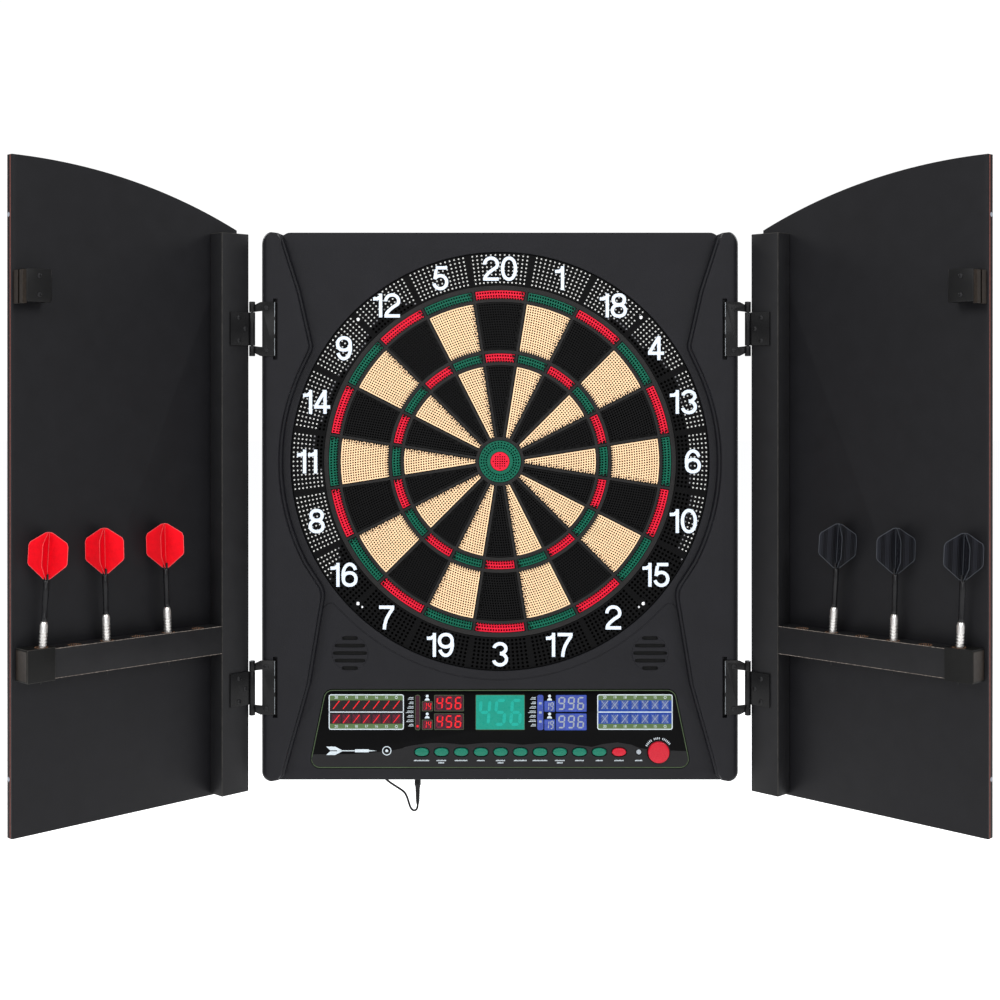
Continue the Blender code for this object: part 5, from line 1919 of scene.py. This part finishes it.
def door_panel(name, side):
    for layer, low_n, high_n, edge, key, slot in PANEL_LAYERS:
        made = plate(f"{name}_door_{layer}", [panel_outline(side)], low_n, high_n, edge, 1)
        nodes = [f"{name}_door_panel"] if layer == "face" else []
        finish(on_door(made, side), key, f"{name}_door", slot, *nodes)
    for number, z in enumerate((231.0 * MM, -277.0 * MM), 1):
        dowel = Shape()
        turn = Matrix.Rotation(side * math.radians(90), 4, "Y")
        profile = mm([(2.1, -1.0), (2.1, -0.1), (1.7, -0.02)])
        dowel.turn(profile, 24, 0, (side * (PANEL_U[1] + 0.25 * MM), -29.4 * MM, z), turn)
        # The dowel ends take the glowing display grey: painted light, since they are no lamp
        made = on_door(dowel.object(f"{name}_door_dowel_{number}", ["lcd_grey"], 35), side)
        settle(made, f"{name}_door", "screw_steel")


def dart_shelf(name, side):
    body = f"{name}_door"
    finish_of = (1, body, "laminate_black")
    refined(f"{name}_dart_shelf", f"{name}_shelf", ["post", "edge_wear_and_highlight"], 0.8 * MM, 2, *finish_of)
    refined(f"{name}_shelf_cap", f"{name}_cap", ["cap", "edge_wear_and_highlight"], 0.9 * MM, 3, *finish_of)
    wear = Shape()
    left, right = sorted((side * 34.6 * MM, side * 214.4 * MM))
    for z in (SHELF_TOP - 0.4 * MM, SHELF_TOP - 27.1 * MM):
        wear.block((left, -3.5 * MM, z), (right, -2.9 * MM, z + 0.5 * MM))
    settle(on_door(wear.object(f"{name}_shelf_wear", ["worn"]), side), body, "catch_plastic")
    for k in range(6):
        centre = (side * (HOLE_U - HOLE_PITCH * k), HOLE_N, SHELF_TOP + 0.03 * MM)
        rim = Shape()
        high = 1.6 * MM if k == 0 else 0.0
        profile = [
            (5.26 * MM, -20.0 * MM), (5.26 * MM, high + 0.1 * MM), (6.0 * MM, high + 0.02 * MM),
            (6.1 * MM, high),
        ]
        rings = []
        for radius, z in profile:
            rings.append([(centre[0] + x, centre[1] + y, centre[2] + z) for x, y in circle(radius, 40)])
        rim.loft(rings)
        made = on_door(rim.object(f"{name}_hole_rim_{k + 1}", ["fibre"], 35), side)
        settle(made, body, "board_edge")
    end = Shape()
    u = 242.5 * MM
    low_z, high_z = SHELF_TOP - 27.2 * MM, SHELF_TOP + 0.2 * MM
    outline = rectangle(-22.2 * MM, low_z, -2.2 * MM, high_z, 1.2 * MM)
    rings = []
    for inset, reach in ((0.0, 0.0), (0.0, 0.25), (0.5, 0.4)):
        ring = inset_by(outline, inset * MM)
        rings.append([(side * (u + reach * MM), n, z) for n, z in ring])
    end.loft(rings, 0, False, False)
    lip = inset_by(outline, 0.9 * MM)
    end.loft([rings[-1], [(side * (u + 0.32 * MM), n, z) for n, z in lip]], 1, False, True)
    made = on_door(end.object(f"{name}_cap_end", ["cap_end", "strike"], 35), side)
    settle(made, body, "catch_plastic")


def magnetic_catch(name, side):
    """The catch's block with its two-part end: strike plate, a flat near-black strip painted as the shade in the
    slot, and a worn strip.
    """
    body = f"{name}_door"
    node = f"{name}_magnetic_catch"
    refined(node, f"{name}_catch", ["catch_plastic"], 1.1 * MM, 3, 0, body, "catch_plastic")
    u = side * 241.65 * MM
    # The middle strip is flush with the others; its near-black colour is painted shade for the slot between them
    parts = ((-22.6, -14.4, "strike"), (-13.6, -12.6, "hole"), (-11.8, -5.4, "strike"))
    for number, (low_n, high_n, key) in enumerate(parts, 1):
        shape = Shape()
        outline = rectangle(low_n * MM, 150.6 * MM, high_n * MM, 180.8 * MM, 0.4 * MM)
        inner = inset_by(outline, 0.3 * MM)
        rings = [
            [(u - side * 0.4 * MM, n, z) for n, z in outline],
            [(u + side * 3.0 * MM, n, z) for n, z in outline],
        ]
        rings.append([(u + side * 3.3 * MM, n, z) for n, z in inner])
        shape.loft(rings, 0, False, True)
        made = on_door(shape.object(f"{name}_catch_strip_{number}", [key], 35), side)
        settle(made, body, "magnet_strike")
    turned = door_place(side) @ Matrix.Rotation(math.pi, 4, "Z")
    for number, z in enumerate((158.5 * MM, 175.5 * MM), 1):
        place = (-side * 229.1 * MM, 4.65 * MM, z)
        screw(f"{name}_catch_screw_{number}", 2.2 * MM, place, "screw_black", body, "screw_black", turned)


def hinges(name, side):
    body = f"{name}_door"
    turned = door_place(side) @ Matrix.Rotation(math.pi, 4, "Z")
    for height, z in HINGE_ZS.items():
        node = f"{name}_{height}_hinge"
        # The leaves' bevel faces take the lighter edge colour: painted highlight along the hinge edges
        refined(
            f"{node}_door_leaf", f"{node}_leaf", ["hinge", "edge_wear_and_highlight"], 0.35 * MM, 2, 1, body,
            "hinge_black",
        )
        refined(
            f"{node}_frame_leaf", f"{node}_frame", ["hinge", "edge_wear_and_highlight"], 0.35 * MM, 2, 1, "housing",
            "hinge_black",
        )
        for number, (u, rise) in enumerate(((15.0, 11.0), (7.5, 0.0), (15.0, -12.0)), 1):
            place = (-side * u * MM, 1.2 * MM, z + rise * MM)
            screw(f"{node}_leaf_screw_{number}", 2.5 * MM, place, "screw_black", body, "screw_black", turned)
        for number, rise in enumerate((21.0, -21.0), 1):
            place = (-side * 233.5 * MM, RAIL_Y - 1.8 * MM, z + rise * MM)
            screw(f"{node}_frame_screw_{number}", 2.5 * MM, place, "screw_black", "housing", "screw_black")
        # Three thin steel strips by each slot in the rail: painted highlight along the frame leaf's edge
        line = Shape()
        front = RAIL_Y - 1.8 * MM
        low_x, high_x = sorted((-side * 224.8 * MM, -side * 225.15 * MM))
        for low, high in ((-26.6, -9.0), (-5.0, 9.0), (12.0, 26.6)):
            line.block((low_x, front - 0.2 * MM, z + low * MM), (high_x, front + 0.3 * MM, z + high * MM))
        settle(line.object(f"{node}_bright_edge", ["bright"]), "housing", "hinge_black")
        for number, rise in enumerate((17.4, -17.4), 1):
            pin = Shape()
            profile = mm([(2.5, -0.4), (2.5, 0.2), (2.2, 0.4)])
            flip = Matrix.Rotation(0.0 if rise > 0 else math.pi, 4, "X")
            end_z = z + math.copysign(26.9 * MM, rise)
            pin.turn(profile, 24, 0, (-side * PIN[0], PIN[1], end_z), flip)
            settle(pin.object(f"{node}_pin_end_{number}", ["bright"], 35), "housing", "screw_steel")


def doors():
    for name, side in SIDES.items():
        door_panel(name, side)
        post = f"{name}_door_post"
        refined(post, f"{name}_post", ["post", "edge_wear_and_highlight"], 0.6 * MM, 2, 1, f"{name}_door", "laminate_black")
        dart_shelf(name, side)
        magnetic_catch(name, side)
        hinges(name, side)


# ---------------------------------------------------------------- darts

BARREL_L = 46.0 * MM
BARREL_R = 3.65 * MM
STEM_L = 37.0 * MM
FLIGHT_L = 43.5 * MM
FLIGHT_R = 18.05 * MM


def dart_pieces():
    """One dart along +Z from the barrel's lower end: (name, shape, materials, slot) each."""
    tip = Shape()
    tip.turn(mm([(0.5, -10.5), (0.85, -8.0), (1.15, -4.0), (1.3, -1.3)])
             + mm([(1.9, -1.2), (1.9, 0.0)]), 20)
    barrel = Shape()
    profile = [(1.9 * MM, -0.9 * MM), (2.9 * MM, -0.6 * MM), (BARREL_R, 0.3 * MM), (BARREL_R, 2.4 * MM)]
    z = 2.4 * MM
    while z < 36.0 * MM:
        profile += [(BARREL_R - 0.8 * MM, z + 0.3 * MM), (BARREL_R - 0.8 * MM, z + 1.1 * MM)]
        profile += [(BARREL_R, z + 1.4 * MM), (BARREL_R, z + 2.9 * MM)]
        z += 2.9 * MM
    profile += [(BARREL_R - 0.1 * MM, z + 0.4 * MM), (BARREL_R, 42.6 * MM), (2.9 * MM, 45.2 * MM)]
    profile += mm([(2.5, 45.9), (1.9, 46.0)])
    barrel.turn(profile, 32)
    stem = Shape()
    top = BARREL_L + STEM_L
    stem.turn(
        mm([(1.9, 45.6), (2.4, 46.4), (2.7, 49.0), (2.5, 50.0)])
        + [(2.5 * MM, 62.0 * MM), (2.75 * MM, 73.0 * MM), (2.8 * MM, top - 1 * MM), (2.3 * MM, top)],
        24,
    )
    for turn in (0, 1, 2, 3):
        prong = Shape()
        prong.block((-0.8 * MM, 0.55 * MM, top - 2 * MM), (0.8 * MM, 2.1 * MM, top + 5.5 * MM))
        stem.merge(prong, Matrix.Rotation(math.pi / 2 * turn, 4, "Z"))
    flight = Shape()
    thick = 0.14 * MM
    half = [(0.0, 0.0), (3.2 * MM, 1.2 * MM), (16.9 * MM, 12.8 * MM), (FLIGHT_R, 15.0 * MM)]
    half += [(FLIGHT_R, 31.0 * MM), (16.7 * MM, 34.2 * MM), (3.0 * MM, 43.0 * MM), (0.0, FLIGHT_L)]
    rim = 0.45 * MM
    for k in range(4):
        wing = Shape()
        outline = [(0.25 * MM + x * 0.985, z + top) for x, z in half]
        inner = inset_by(outline, rim)
        back, front = at_y(outline, thick), at_y(outline, -thick)
        wing.loft([back, front], 1)
        wing.loft([front, at_y(inner, -thick - 0.06 * MM)], 1)
        wing.loft([back, at_y(inner, thick + 0.06 * MM)], 1)
        wing.add(at_y(inner, -thick - 0.06 * MM), [tuple(range(len(inner)))])
        wing.add(at_y(inner, thick + 0.06 * MM), [tuple(range(len(inner)))])
        flight.merge(wing, Matrix.Rotation(math.pi / 4 + math.pi / 2 * k, 4, "Z"))
    return (
        ("tip", tip, ["tip"], "dart_tip", 40),
        ("barrel", barrel, ["barrel"], "dart_barrel", 25),
        ("stem", stem, ["stem"], "dart_stem", 35),
        ("flight", flight, None, None, None),
    )


def darts():
    for name, side in SIDES.items():
        for number, (k, lean) in enumerate(zip((0, 2, 4), DART_LEANS_DEG[name]), 1):
            body = f"{name}_dart_{number}"
            lift = BARREL_R * math.sin(math.radians(abs(lean)))
            spot = (side * (HOLE_U - HOLE_PITCH * k), HOLE_N, SHELF_TOP - 22.0 * MM + 0.3 * MM + lift)
            tilt = Matrix.Rotation(side * math.radians(lean), 4, "Y")
            place = door_place(side) @ Matrix.Translation(spot) @ tilt
            for piece, shape, materials, slot, smooth_deg in dart_pieces():
                colours = ["flight_red", "flight_edge"] if name == "left" else ["flight_black", "flight_grey"]
                finish = slot or ("flight_red" if name == "left" else "flight_black")
                made = shape.object(f"{body}_{piece}", materials or colours, smooth_deg)
                made.matrix_world = place
                settle(made, body, finish, *([body] if piece == "barrel" else []))


# ---------------------------------------------------------------- inside


def inside():
    """The hidden layers behind the target and the panel keep their plain shapes."""
    for node, key in (
        ("matrix_membrane", "film"),
        ("target_backplate", "housing_dark"),
        ("main_circuit_board", "board"),
        ("display_board", "board"),
        ("button_pad", "silicone"),
        ("left_speaker", "paper_cone"),
        ("right_speaker", "paper_cone"),
        ("dc_jack", "housing_dark"),
    ):
        paint(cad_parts[node], key)


camera()
studio()
floor()
supply()
housing()
target()
controls()
doors()
darts()
inside()
